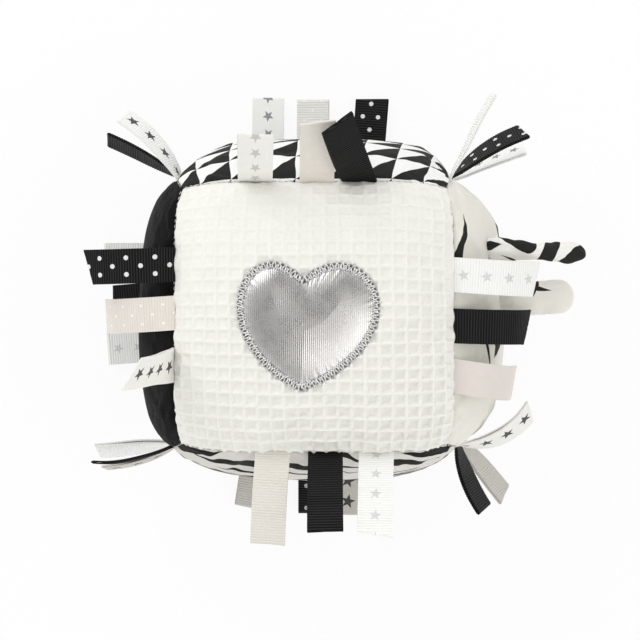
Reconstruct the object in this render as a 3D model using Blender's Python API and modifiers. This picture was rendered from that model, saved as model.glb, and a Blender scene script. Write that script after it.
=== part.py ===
"""A soft fabric block for babies: six cloth panels sewn round a stuffing, with folded ribbon loops
caught in the seams, two padded tails on one side panel and a foil heart on the upper panel.

Metres, +Z up. The block lies on a table with its heart up. The origin is the middle of the flat
that it rests on. +X is the side with the tails, +Y the side with the triangle print.
"""

import math

import bmesh
import bpy
from mathutils import Matrix, Vector

MM = 0.001

# The sewn body, seam to seam at the middle of an edge
WIDTH = 128.6 * MM
DEPTH = 124.2 * MM
HEIGHT = 122.0 * MM
BASE_SEAM_HEIGHT = 9.0 * MM
CORNER_DRAW = 3.3 * MM
CORNER_POWER = 6.0
BARREL_SHARE = 0.035
TUCK_POWER = 5.0

# How far each panel swells over its seams
HEART_CROWN = 18.0 * MM
SIDE_CROWN = 19.9 * MM
REAR_CROWN = 19.2 * MM
FRONT_CROWN = 13.9 * MM
BASE_CROWN = 12.0 * MM
SWELL_POWER = 2.5
SWELL_ROUNDING = 0.55

# Cloth, and the gaps between sewn pieces
CLOTH = 1.2 * MM
PANEL_LIFT = 0.2 * MM
SEAT_GAP = 0.3 * MM
PANEL_CELLS = 14
SHARP_ANGLE = 50.0

# Ribbon loops: one strip folded in half, both ends in a seam
RIBBON_WIDTH = 16.0 * MM
RIBBON_CLOTH = 0.45 * MM
LOOP_GAP = 0.6 * MM
LOOP_LENGTH = 44.0 * MM
ROOT_SINK = 0.17 * MM
LAYER_CELLS = 5
FOLD_CELLS = 4
ROLL_POWER = 3.0
SKEW_GRIP_SHARE = 0.3
STRAIGHT_CURL = 0.5

# Foil heart
HEART_WIDTH = 65.8 * MM
HEART_HEIGHT = 59.2 * MM
HEART_NOTCH_SHARE = 0.46
HEART_CLOTH = 0.8 * MM
HEART_LEFT = 4.0 * MM
HEART_DOWN = 4.0 * MM
HEART_TURN = 1.0
HEART_DICE = 8.0 * MM
HEART_OUTLINE_STEPS = 9
HEART_SEARCH_STEPS = 4
WELD_SHARE = 0.05

# Padded tails, sewn to the middle of the side panel
TAIL_WIDTH = 16.0 * MM
TAIL_THICKNESS = 7.0 * MM
FLAT_TAIL_LENGTH = 35.5 * MM
TWISTED_TAIL_LENGTH = 46.5 * MM
TAIL_ROOT_THICKNESS = 2.4 * MM
TAIL_SIDES = 12
TAIL_RINGS = 22

CENTRE_HEIGHT = BASE_SEAM_HEIGHT + HEIGHT / 2
HALF = Vector((WIDTH / 2, DEPTH / 2, HEIGHT / 2))
LOOP_THICKNESS = LOOP_GAP + 2 * RIBBON_CLOTH

# How far each upright seam is drawn in at mid height, as shares of the half width and half depth.
# The stuffing does not fill the corners evenly, so they differ. Keys: on the +X side, on the +Y side
CORNER_TUCKS = {
    (False, True): (0.008, 0.0),
    (True, True): (0.10, 0.008),
    (True, False): (0.04, 0.069),
    (False, False): (-0.053, 0.047),
}

# Each panel: normal axis, side, the two axes that it spans, swell and colour
PANELS = {
    "heart_panel": (2, 1, 0, 1, HEART_CROWN, "waffle_cotton"),
    "base_panel": (2, -1, 0, 1, BASE_CROWN, "plain_cotton"),
    "plush_panel": (0, -1, 1, 2, SIDE_CROWN, "black_plush"),
    "zebra_side_panel": (0, 1, 1, 2, SIDE_CROWN, "zebra_cotton"),
    "triangle_panel": (1, 1, 0, 2, REAR_CROWN, "triangle_cotton"),
    "zebra_front_panel": (1, -1, 0, 2, FRONT_CROWN, "zebra_cotton"),
}

# Material: colour, roughness, metallic
FINISHES = {
    "waffle_cotton": ((0.90, 0.89, 0.85), 0.90, 0.0),
    "plain_cotton": ((0.82, 0.81, 0.77), 0.88, 0.0),
    "black_plush": ((0.015, 0.015, 0.016), 0.95, 0.0),
    "zebra_cotton": ((0.76, 0.76, 0.73), 0.85, 0.0),
    "triangle_cotton": ((0.55, 0.55, 0.54), 0.85, 0.0),
    "foil_cloth": ((0.70, 0.70, 0.70), 0.32, 0.9),
    "stuffing": ((0.90, 0.90, 0.88), 1.0, 0.0),
    "white_star_ribbon": ((0.86, 0.86, 0.85), 0.60, 0.0),
    "cream_star_ribbon": ((0.84, 0.82, 0.76), 0.65, 0.0),
    "grey_star_ribbon": ((0.55, 0.56, 0.53), 0.65, 0.0),
    "white_ribbon": ((0.84, 0.84, 0.83), 0.60, 0.0),
    "beige_ribbon": ((0.76, 0.72, 0.67), 0.60, 0.0),
    "beige_dot_ribbon": ((0.76, 0.71, 0.67), 0.60, 0.0),
    "grey_ribbon": ((0.60, 0.59, 0.55), 0.65, 0.0),
    "black_ribbon": ((0.014, 0.014, 0.015), 0.55, 0.0),
    "black_dot_ribbon": ((0.018, 0.018, 0.019), 0.55, 0.0),
}

# Seams: the panel that the seam's place is read on, then its u and v there. None is the way along.
SEAMS = {
    "heart_rear": ("heart_panel", None, 1),
    "heart_front": ("heart_panel", None, -1),
    "heart_left": ("heart_panel", -1, None),
    "heart_right": ("heart_panel", 1, None),
    "base_rear": ("base_panel", None, 1),
    "base_front": ("base_panel", None, -1),
    "base_left": ("base_panel", -1, None),
    "base_right": ("base_panel", 1, None),
    "corner_rear_left": ("plush_panel", 1, None),
    "corner_rear_right": ("zebra_side_panel", 1, None),
    "corner_front_left": ("plush_panel", -1, None),
    "corner_front_right": ("zebra_side_panel", -1, None),
}

# Ribbon: seam, place along it as a share of its half, length as a share, then degrees: lift of the
# root (or its turn off the diagonal, in a corner seam), curl, twist, skew, slant of the fold
RIBBON_SHARES = {
    "ribbon_heart_rear_1": ("heart_rear", -0.44, 1.00, 75.5, -24, 0, -5, 2, "cream_star_ribbon"),
    "ribbon_heart_rear_2": ("heart_rear", 0.026, 0.89, 44, 12, 0, -4, -15, "beige_ribbon"),
    "ribbon_heart_rear_3": ("heart_rear", 0.347, 1.04, 64, -14, 32, 10, -12, "black_ribbon"),
    "ribbon_heart_left_1": ("heart_left", 0.41, 0.95, 22, -58, 0, 2, -19, "black_dot_ribbon"),
    "ribbon_heart_left_2": ("heart_left", 0.03, 1.02, 10, -88, 0, 4, 15, "beige_dot_ribbon"),
    "ribbon_heart_left_3": ("heart_left", -0.38, 1.00, 76, -8, -28, 3, 18, "cream_star_ribbon"),
    "ribbon_heart_right_1": ("heart_right", 0.33, 0.94, 16, -70, 0, -4, 14, "white_star_ribbon"),
    "ribbon_heart_right_2": ("heart_right", -0.07, 0.96, 8, -80, 0, -2, 32, "black_ribbon"),
    "ribbon_heart_right_3": ("heart_right", -0.46, 0.82, 10, -90, 0, -10, 0, "beige_ribbon"),
    "ribbon_heart_front_1": ("heart_front", -0.31, 0.96, 20, -30, 0, -3, 1, "beige_ribbon"),
    "ribbon_heart_front_2": ("heart_front", 0.09, 0.94, 47, -24, 0, 2, -1, "black_ribbon"),
    "ribbon_heart_front_3": ("heart_front", 0.475, 0.94, 41, -18, 0, 0.5, 11, "white_star_ribbon"),
    "ribbon_base_rear_1": ("base_rear", -0.523, 1.02, -5, 0, 0, 0, 0, "white_star_ribbon"),
    "ribbon_base_rear_2": ("base_rear", -0.15, 1.00, -4, -2, 0, 0, 0, "beige_dot_ribbon"),
    "ribbon_base_rear_3": ("base_rear", 0.29, 1.00, -5, 0, 0, -4, -4, "black_dot_ribbon"),
    "ribbon_base_left_1": ("base_left", 0.45, 1.16, -5, 0, 0, 0, 0, "beige_dot_ribbon"),
    "ribbon_base_left_2": ("base_left", 0.15, 1.06, -4, -2, 0, 5, 6, "black_ribbon"),
    "ribbon_base_left_3": ("base_left", -0.27, 1.12, -3, -3, 0, 4, 0, "white_star_ribbon"),
    "ribbon_base_front_1": ("base_front", -0.58, 0.86, -5, 0, 0, -9, 4, "grey_ribbon"),
    "ribbon_base_front_2": ("base_front", -0.14, 0.90, -5, 0, 0, 0, 0, "black_dot_ribbon"),
    "ribbon_base_front_3": ("base_front", 0.14, 0.92, -5, 0, 0, 0, 0, "grey_star_ribbon"),
    "ribbon_corner_rear_left_1": ("corner_rear_left", 0.42, 0.93, -20, -34, -25, 0, 0, "white_star_ribbon"),
    "ribbon_corner_rear_left_2": ("corner_rear_left", 0.0, 0.96, 13.5, -9, 20, 0, 0, "black_ribbon"),
    "ribbon_corner_rear_right_1": ("corner_rear_right", 0.42, 1.02, 18, 2, 10, 0, 0, "white_ribbon"),
    "ribbon_corner_rear_right_2": ("corner_rear_right", 0.0, 0.97, -2, 20, 27, 0, 10, "black_dot_ribbon"),
    "ribbon_corner_rear_right_3": ("corner_rear_right", -0.42, 0.89, -12, 16, 24, 0, 0, "white_star_ribbon"),
    "ribbon_corner_front_left_1": ("corner_front_left", 0.42, 0.89, -20, 26, 5, 0, 0, "black_ribbon"),
    "ribbon_corner_front_left_2": ("corner_front_left", 0.0, 0.89, -37, 2, 26, 0, 0, "white_ribbon"),
    "ribbon_corner_front_left_3": ("corner_front_left", -0.42, 0.98, -9, 32, 8, 0, 0, "grey_ribbon"),
    "ribbon_corner_front_right_1": ("corner_front_right", 0.42, 0.91, 40, -60, -30, 0, 22, "cream_star_ribbon"),
    "ribbon_corner_front_right_2": ("corner_front_right", 0.0, 0.82, -35, -24, 23, 0, 0, "black_ribbon"),
    "ribbon_corner_front_right_3": ("corner_front_right", -0.42, 0.82, -6, 0, 28, 0, 12, "grey_ribbon"),
}

# Tail: its place on the side panel as shares of the panel's half sides, length, then degrees: lift,
# swing, curl and twist
TAIL_SHARES = {
    "flat_tail": (0.108, 0.48, FLAT_TAIL_LENGTH, 4, 4, -24, 0),
    "twisted_tail": (0.50, 0.70, TWISTED_TAIL_LENGTH, 2, -3, -18, 290),
}
TAIL_ROOT_WIDTH_SHARE = 0.62
TAIL_ROOT_REACH_SHARE = 0.2
TAIL_END_SHARE = 0.2
TAIL_TWIST_SLIM_SHARE = 0.64

# Heart outline on one half, as shares of that half's width and of half its height: point, way in,
# way out
HEART_SHARES = (
    ((0.0, 0.78), (0.0, 0.78), (0.15, 0.88)),
    ((0.46, 1.0), (0.27, 1.0), (0.76, 1.0)),
    ((1.0, 0.30), (1.0, 0.70), (1.0, -0.25)),
    ((0.0, -1.0), (0.52, -0.80), (0.0, -1.0)),
)


def clear_scene():
    for thing in list(bpy.data.objects):
        bpy.data.objects.remove(thing, do_unlink=True)


def collection_named(name, rendered=True):
    collection = bpy.data.collections.new(name)
    collection.hide_render = not rendered
    bpy.context.scene.collection.children.link(collection)
    return collection


def finish_named(name):
    material = bpy.data.materials.get(name)
    if material:
        return material
    colour, roughness, metallic = FINISHES[name]
    material = bpy.data.materials.new(name)
    material.use_nodes = True
    shader = material.node_tree.nodes["Principled BSDF"]
    shader.inputs["Base Color"].default_value = (*colour, 1.0)
    shader.inputs["Roughness"].default_value = roughness
    shader.inputs["Metallic"].default_value = metallic
    material.diffuse_color = (*colour, 1.0)
    return material


def object_from(bm, name, finish, collection):
    """Turns the working mesh into a named, smooth object with its material, faces outwards."""
    if bm.calc_volume(signed=True) < 0:
        bmesh.ops.reverse_faces(bm, faces=bm.faces[:])
    mesh = bpy.data.meshes.new(name)
    bm.to_mesh(mesh)
    bm.free()
    mesh.shade_smooth()
    mesh.set_sharp_from_angle(angle=math.radians(SHARP_ANGLE))
    mesh.materials.append(finish_named(finish))
    made = bpy.data.objects.new(name, mesh)
    collection.objects.link(made)
    return made


def swell(across):
    """Height of a stuffed panel's section, as a share of its crown: 1 at the middle, 0 at a seam."""
    inside = max(0.0, 1.0 - abs(across) ** SWELL_POWER)
    return inside**SWELL_ROUNDING


def form_point(panel, u, v, inset=0.0, lift=0.0, floor=0.0):
    """A point of the stuffed form on one panel, u and v from -1 to 1 between its seams.

    inset goes below the outer face and mitres at the seams; lift moves straight out. Nothing
    goes below the floor, where the table presses the form flat."""
    normal_axis, side, u_axis, v_axis, crown, _ = PANELS[panel]
    half = HALF - Vector((inset, inset, inset))
    point = Vector()
    point[u_axis] = u * (half[u_axis] - CORNER_DRAW * abs(v) ** CORNER_POWER)
    point[v_axis] = v * (half[v_axis] - CORNER_DRAW * abs(u) ** CORNER_POWER)
    rise = crown * swell(u) * swell(v) - CORNER_DRAW * abs(u * v) ** CORNER_POWER
    point[normal_axis] = side * (half[normal_axis] + rise)
    level = min(1.0, abs(point.z) / half.z)
    between = 1.0 - level**2
    near_corner = min(abs(u), abs(v)) if normal_axis == 2 else abs(u)
    tuck_x, tuck_y = CORNER_TUCKS[point.x > 0, point.y > 0]
    point.x *= 1.0 + between * (BARREL_SHARE - tuck_x * near_corner**TUCK_POWER)
    point.y *= 1.0 + between * (BARREL_SHARE - tuck_y * near_corner**TUCK_POWER)
    point[normal_axis] += side * lift
    point.z = max(point.z + CENTRE_HEIGHT, floor)
    return point


def eased(cell):
    """Spreads evenly spaced grid lines so that they crowd towards the seams."""
    return math.sin(cell * math.pi / 2)


def add_square(bm):
    """A flat square of cells, cut into triangles the same way for each layer of the block."""
    made = bmesh.ops.create_grid(bm, x_segments=PANEL_CELLS, y_segments=PANEL_CELLS, size=1.0)
    cells = {face for vert in made["verts"] for face in vert.link_faces}
    bmesh.ops.triangulate(bm, faces=list(cells), quad_method="FIXED")
    return made["verts"]


def add_panel(name, collection):
    """A cloth panel: a flat square given the cloth's thickness, then swelled over the stuffing."""
    bm = bmesh.new()
    inner = set(add_square(bm))
    bmesh.ops.solidify(bm, geom=bm.faces[:], thickness=CLOTH)
    for vert in bm.verts:
        inset = CLOTH if vert in inner else 0.0
        vert.co = form_point(name, eased(vert.co.x), eased(vert.co.y), inset, PANEL_LIFT, inset)
    return object_from(bm, name, PANELS[name][5], collection)


def add_stuffing(collection):
    """The stuffing: the six squares swelled to just inside the cloth and joined at their edges."""
    bm = bmesh.new()
    depth = CLOTH + SEAT_GAP
    for name in PANELS:
        for vert in add_square(bm):
            vert.co = form_point(name, eased(vert.co.x), eased(vert.co.y), depth, floor=depth)
    bmesh.ops.remove_doubles(bm, verts=bm.verts[:], dist=SEAT_GAP * WELD_SHARE)
    bmesh.ops.recalc_face_normals(bm, faces=bm.faces[:])
    return object_from(bm, "stuffing", "stuffing", collection)


def seam_frame(seam, place):
    """Where a ribbon leaves a seam: the hinge point, and the ways out, along the seam and up."""
    panel, u, v = SEAMS[seam]
    u = place if u is None else u
    v = place if v is None else v
    point = form_point(panel, u, v)
    if seam.startswith("corner"):
        out = Vector((math.copysign(1, point.x), math.copysign(1, point.y), 0))
        along = Vector((0, 0, 1))
    elif abs(point.x) > abs(point.y) and seam.endswith(("left", "right")):
        out = Vector((math.copysign(1, point.x), 0, math.copysign(1, point.z - CENTRE_HEIGHT)))
        along = Vector((0, 1, 0))
    else:
        out = Vector((0, math.copysign(1, point.y), math.copysign(1, point.z - CENTRE_HEIGHT)))
        along = Vector((1, 0, 0))
    stand_off = LOOP_THICKNESS / 2 + SEAT_GAP - ROOT_SINK
    return point + out * stand_off, out.normalized(), along


def ribbon_matrix(seam, place, lift):
    """The ribbon's own frame: X out along it, Y along the seam, Z up through its thickness."""
    hinge, out, along = seam_frame(seam, place)
    if seam.startswith("corner"):
        forward = Matrix.Rotation(math.radians(lift), 3, "Z") @ out
    else:
        level = Vector((out.x, out.y, 0)).normalized()
        forward = level * math.cos(math.radians(lift)) + Vector((0, 0, math.sin(math.radians(lift))))
    if not seam.startswith("corner") and along.cross(Vector((0, 0, 1))).dot(forward) < 0:
        along = -along
    thickness_way = forward.cross(along).normalized()
    return Matrix.Translation(hinge) @ Matrix((forward, along, thickness_way)).transposed().to_4x4()


def bent(along, across, above, length, curl):
    """A flat strip's point after the strip is bent evenly by curl radians over its length."""
    if abs(curl) < math.radians(STRAIGHT_CURL):
        return Vector((along, across, above))
    radius = length / curl
    angle = along / radius
    return Vector(
        ((radius - above) * math.sin(angle), across, radius - (radius - above) * math.cos(angle))
    )


def loop_point(distance, across, length, curl, twist, skew, slant):
    """A point of the folded strip's middle surface. distance runs out to the fold and back, 0 to 1.

    The strip is twisted, then bent, then turned aside by the skew, but for its end in the seam."""
    layer = (LOOP_GAP + RIBBON_CLOTH) / 2
    reach = length - layer + across * math.tan(math.radians(slant))
    fold_share = FOLD_CELLS / (2 * LAYER_CELLS + FOLD_CELLS)
    straight_share = (1 - fold_share) / 2
    if distance < straight_share:
        along, above = reach * distance / straight_share, layer
    elif distance > 1 - straight_share:
        along, above = reach * (1 - distance) / straight_share, -layer
    else:
        turn = math.pi * (distance - straight_share) / fold_share
        along, above = reach + layer * math.sin(turn), layer * math.cos(turn)
    roll = math.radians(twist) * (1 - (1 - along / length) ** ROLL_POWER)
    across_turned = across * math.cos(roll) - above * math.sin(roll)
    above_turned = across * math.sin(roll) + above * math.cos(roll)
    point = bent(along, across_turned, above_turned, length, math.radians(curl))
    aside = math.radians(skew)
    grip = min(1.0, along / (SKEW_GRIP_SHARE * length))
    return Vector(
        (
            point.x * math.cos(aside) - point.y * math.sin(aside) * grip,
            point.y * math.cos(aside) + point.x * math.sin(aside),
            point.z,
        )
    )


def add_ribbon(name, collection):
    """A ribbon loop: a strip cut flat, folded in half, bent and twisted, then given its thickness."""
    seam, place, length_share, lift, curl, twist, skew, slant, finish = RIBBON_SHARES[name]
    length = LOOP_LENGTH * length_share
    bm = bmesh.new()
    cells = 2 * LAYER_CELLS + FOLD_CELLS
    columns = 2 if twist else 1
    bmesh.ops.create_grid(bm, x_segments=cells, y_segments=columns, size=1.0)
    for vert in bm.verts:
        distance = (vert.co.x + 1) / 2
        across = vert.co.y * RIBBON_WIDTH / 2
        vert.co = loop_point(distance, across, length, curl, twist, skew, slant)
    made = object_from(bm, name, finish, collection)
    made.matrix_world = ribbon_matrix(seam, place, lift)
    cloth = made.modifiers.new("cloth", "SOLIDIFY")
    cloth.thickness = RIBBON_CLOTH
    cloth.offset = 0
    cloth.use_even_offset = True
    return made


def heart_height(x, y):
    """Height of the heart panel's outer face over a place on it, by walking its two shares there."""
    u, v = x / HALF.x, y / HALF.y
    for _ in range(HEART_SEARCH_STEPS):
        point = form_point("heart_panel", u, v, 0.0, PANEL_LIFT)
        u += (x - point.x) / HALF.x
        v += (y - point.y) / HALF.y
    return form_point("heart_panel", u, v, 0.0, PANEL_LIFT).z


def heart_spline(outline):
    """The closed heart outline: the wider right half's points, then the left half's mirrored."""
    right_width = HEART_WIDTH * (1 - HEART_NOTCH_SHARE)
    left_width = HEART_WIDTH * HEART_NOTCH_SHARE
    half_height = HEART_HEIGHT / 2
    right = [[(x * right_width, y * half_height) for x, y in knot] for knot in HEART_SHARES]
    left = [[(-x * left_width, y * half_height) for x, y in knot] for knot in HEART_SHARES]
    knots = right + [[place, way_out, way_in] for place, way_in, way_out in reversed(left[1:-1])]
    right[0][1] = left[0][2]
    right[-1][2] = left[-1][1]
    spline = outline.splines.new("BEZIER")
    spline.bezier_points.add(len(knots) - 1)
    for knot, (place, way_in, way_out) in zip(spline.bezier_points, knots):
        knot.co = (*place, 0)
        knot.handle_left = (*way_in, 0)
        knot.handle_right = (*way_out, 0)
    spline.use_cyclic_u = True
    spline.resolution_u = HEART_OUTLINE_STEPS


def diced(bm, half_x, half_y):
    """Cuts the sheet along a square grid so that it can follow a curved face."""
    for axis, half in ((0, half_x), (1, half_y)):
        count = int(half / HEART_DICE)
        for step in range(-count, count + 1):
            place, normal = Vector(), Vector()
            place[axis], normal[axis] = step * HEART_DICE, 1
            everything = bm.verts[:] + bm.edges[:] + bm.faces[:]
            bmesh.ops.bisect_plane(bm, geom=everything, plane_co=place, plane_no=normal)


def add_heart(collection):
    """The foil heart: a flat outline cut out of cloth and laid over the swelled panel."""
    outline = bpy.data.curves.new("heart_outline", "CURVE")
    outline.dimensions = "2D"
    outline.fill_mode = "BOTH"
    outline.extrude = HEART_CLOTH / 2
    heart_spline(outline)
    flat = bpy.data.objects.new("heart_outline", outline)
    collection.objects.link(flat)
    bpy.context.view_layer.update()
    mesh = bpy.data.meshes.new_from_object(flat.evaluated_get(bpy.context.evaluated_depsgraph_get()))
    bpy.data.objects.remove(flat)
    bm = bmesh.new()
    bm.from_mesh(mesh)
    bpy.data.meshes.remove(mesh)
    bmesh.ops.remove_doubles(bm, verts=bm.verts[:], dist=SEAT_GAP * WELD_SHARE)
    bmesh.ops.rotate(bm, verts=bm.verts[:], matrix=Matrix.Rotation(math.radians(-HEART_TURN), 3, "Z"))
    bmesh.ops.translate(bm, verts=bm.verts[:], vec=(-HEART_LEFT, -HEART_DOWN, 0))
    diced(bm, HEART_WIDTH, HEART_HEIGHT)
    bmesh.ops.triangulate(bm, faces=bm.faces[:])
    for vert in bm.verts:
        vert.co.z += heart_height(vert.co.x, vert.co.y) + HEART_CLOTH / 2 + SEAT_GAP
    return object_from(bm, "foil_heart", "foil_cloth", collection)


def tail_section(reach, slim):
    """Half width and half thickness of a tail at a share of its length: pinched root, round end."""
    root = min(1.0, reach / TAIL_ROOT_REACH_SHARE)
    root = root * root * (3 - 2 * root)
    past = max(0.0, reach - 1 + TAIL_END_SHARE) / TAIL_END_SHARE
    end = math.sqrt(max(0.0, 1.0 - past**2))
    width = TAIL_WIDTH / 2 * (TAIL_ROOT_WIDTH_SHARE + (slim - TAIL_ROOT_WIDTH_SHARE) * root)
    low, high = TAIL_ROOT_THICKNESS / 2, TAIL_THICKNESS / 2
    return width * end, (low + (high - low) * root) * math.sqrt(end)


def add_tail(name, collection):
    """A padded tail: a ball drawn out into a strip, pinched at its root and twisted along itself."""
    across, up, length, lift, swing, curl, twist = TAIL_SHARES[name]
    slim = TAIL_TWIST_SLIM_SHARE if twist else 1.0
    bm = bmesh.new()
    bmesh.ops.create_uvsphere(bm, u_segments=TAIL_SIDES, v_segments=TAIL_RINGS, radius=1.0)
    for vert in bm.verts:
        reach = 1 - math.acos(max(-1.0, min(1.0, vert.co.z))) / math.pi
        angle = math.atan2(vert.co.y, vert.co.x)
        ring = min(1.0, vert.co.xy.length * TAIL_RINGS / 2)
        width, thickness = tail_section(reach, slim)
        roll = math.radians(twist) * max(0.0, reach - TAIL_ROOT_REACH_SHARE)
        side, above = ring * width * math.cos(angle), ring * thickness * math.sin(angle)
        side, above = (
            side * math.cos(roll) - above * math.sin(roll),
            side * math.sin(roll) + above * math.cos(roll),
        )
        vert.co = bent(length * reach, side, above, length, math.radians(curl))
    made = object_from(bm, name, "zebra_cotton", collection)
    root = form_point("zebra_side_panel", across, up, 0.0, PANEL_LIFT)
    root.x += SEAT_GAP
    turn = Matrix.Rotation(math.radians(swing), 4, "Z") @ Matrix.Rotation(math.radians(-lift), 4, "Y")
    made.matrix_world = Matrix.Translation(root) @ turn
    return made


def build():
    clear_scene()
    block = collection_named("soft_block")
    add_stuffing(block)
    for name in PANELS:
        add_panel(name, block)
    add_heart(block)
    for name in RIBBON_SHARES:
        add_ribbon(name, block)
    for name in TAIL_SHARES:
        add_tail(name, block)
    return block


build()
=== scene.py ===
"""A soft fabric block for babies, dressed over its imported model: waffle, print and plush panels
blown up round a filling, folded ribbon loops in the seams, two padded tails and a foil heart.

Metres, +Z up. +X is the side with the tails, +Y the side with the triangle print.
"""

import functools
import math

import bmesh
import bpy
import numpy as np
from mathutils import Matrix, Vector


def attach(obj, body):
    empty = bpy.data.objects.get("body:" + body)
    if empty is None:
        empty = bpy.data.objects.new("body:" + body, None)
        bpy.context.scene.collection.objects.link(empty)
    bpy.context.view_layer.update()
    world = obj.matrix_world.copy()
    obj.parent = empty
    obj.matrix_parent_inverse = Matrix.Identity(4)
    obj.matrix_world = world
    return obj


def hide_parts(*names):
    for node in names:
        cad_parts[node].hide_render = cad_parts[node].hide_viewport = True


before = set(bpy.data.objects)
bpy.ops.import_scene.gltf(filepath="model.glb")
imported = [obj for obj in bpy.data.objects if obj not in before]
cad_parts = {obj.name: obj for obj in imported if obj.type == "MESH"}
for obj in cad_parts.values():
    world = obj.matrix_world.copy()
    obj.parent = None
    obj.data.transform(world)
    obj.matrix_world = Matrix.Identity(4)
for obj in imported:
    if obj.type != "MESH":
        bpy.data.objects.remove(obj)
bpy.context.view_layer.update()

MM = 0.001
SHARP_ANGLE = math.radians(60)

# The sewn form, as in the model's source
WIDTH, DEPTH, HEIGHT = 128.6 * MM, 124.2 * MM, 122.0 * MM
BASE_SEAM_HEIGHT = 9.0 * MM
CORNER_DRAW, CORNER_POWER = 3.3 * MM, 6.0
BARREL_SHARE, TUCK_POWER = 0.035, 5.0
# How far each upright seam is drawn in at mid height, by its sides of X and Y
CORNER_TUCKS = np.array([[(-0.053, 0.047), (0.008, 0.0)], [(0.04, 0.069), (0.10, 0.008)]])
SWELL_POWER, SWELL_ROUNDING = 2.5, 0.55
CLOTH, PANEL_LIFT, SEAT_GAP = 1.2 * MM, 0.2 * MM, 0.3 * MM
CENTRE_HEIGHT = BASE_SEAM_HEIGHT + HEIGHT / 2
HALF = np.array([WIDTH, DEPTH, HEIGHT]) / 2

# Panel: normal axis, side, the two axes that it spans, how far it swells, its slot in the record
PANELS = {
    "heart_panel": (2, 1, 0, 1, 18.0 * MM, "waffle_cotton"),
    "base_panel": (2, -1, 0, 1, 12.0 * MM, "plain_cotton"),
    "plush_panel": (0, -1, 1, 2, 19.9 * MM, "black_plush"),
    "zebra_side_panel": (0, 1, 1, 2, 19.9 * MM, "zebra_cotton"),
    "triangle_panel": (1, 1, 0, 2, 19.2 * MM, "triangle_cotton"),
    "zebra_front_panel": (1, -1, 0, 2, 13.9 * MM, "zebra_cotton"),
}
# Seams: the panel that the seam's place is read on, then its u and v there
ENDS = (("rear", None, 1), ("front", None, -1), ("left", -1, None), ("right", 1, None))
SEAMS = {f"{level}_{end}": (f"{level}_panel", u, v) for level in ("heart", "base") for end, u, v in ENDS}
for end, u in (("rear", 1), ("front", -1)):
    for side, panel in (("left", "plush_panel"), ("right", "zebra_side_panel")):
        SEAMS[f"corner_{end}_{side}"] = (panel, u, None)

# Ribbon loops, as in the model's source
RIBBON_WIDTH, RIBBON_CLOTH = 16.0 * MM, 0.45 * MM
LOOP_GAP, LOOP_LENGTH = 0.6 * MM, 44.0 * MM
ROOT_SINK, ROOT_TUCK = 0.17 * MM, 1.0 * MM
ROLL_POWER, SKEW_GRIP_SHARE = 3.0, 0.3
# The woven loop: thicker cloth than the model's, its two layers pressed together
WOVEN_CLOTH, WOVEN_GAP = 0.62 * MM, 0.10 * MM
RIB_PITCH, RIB_DEPTH, RIB_CUTS = 1.25 * MM, 0.30 * MM, 6
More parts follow.
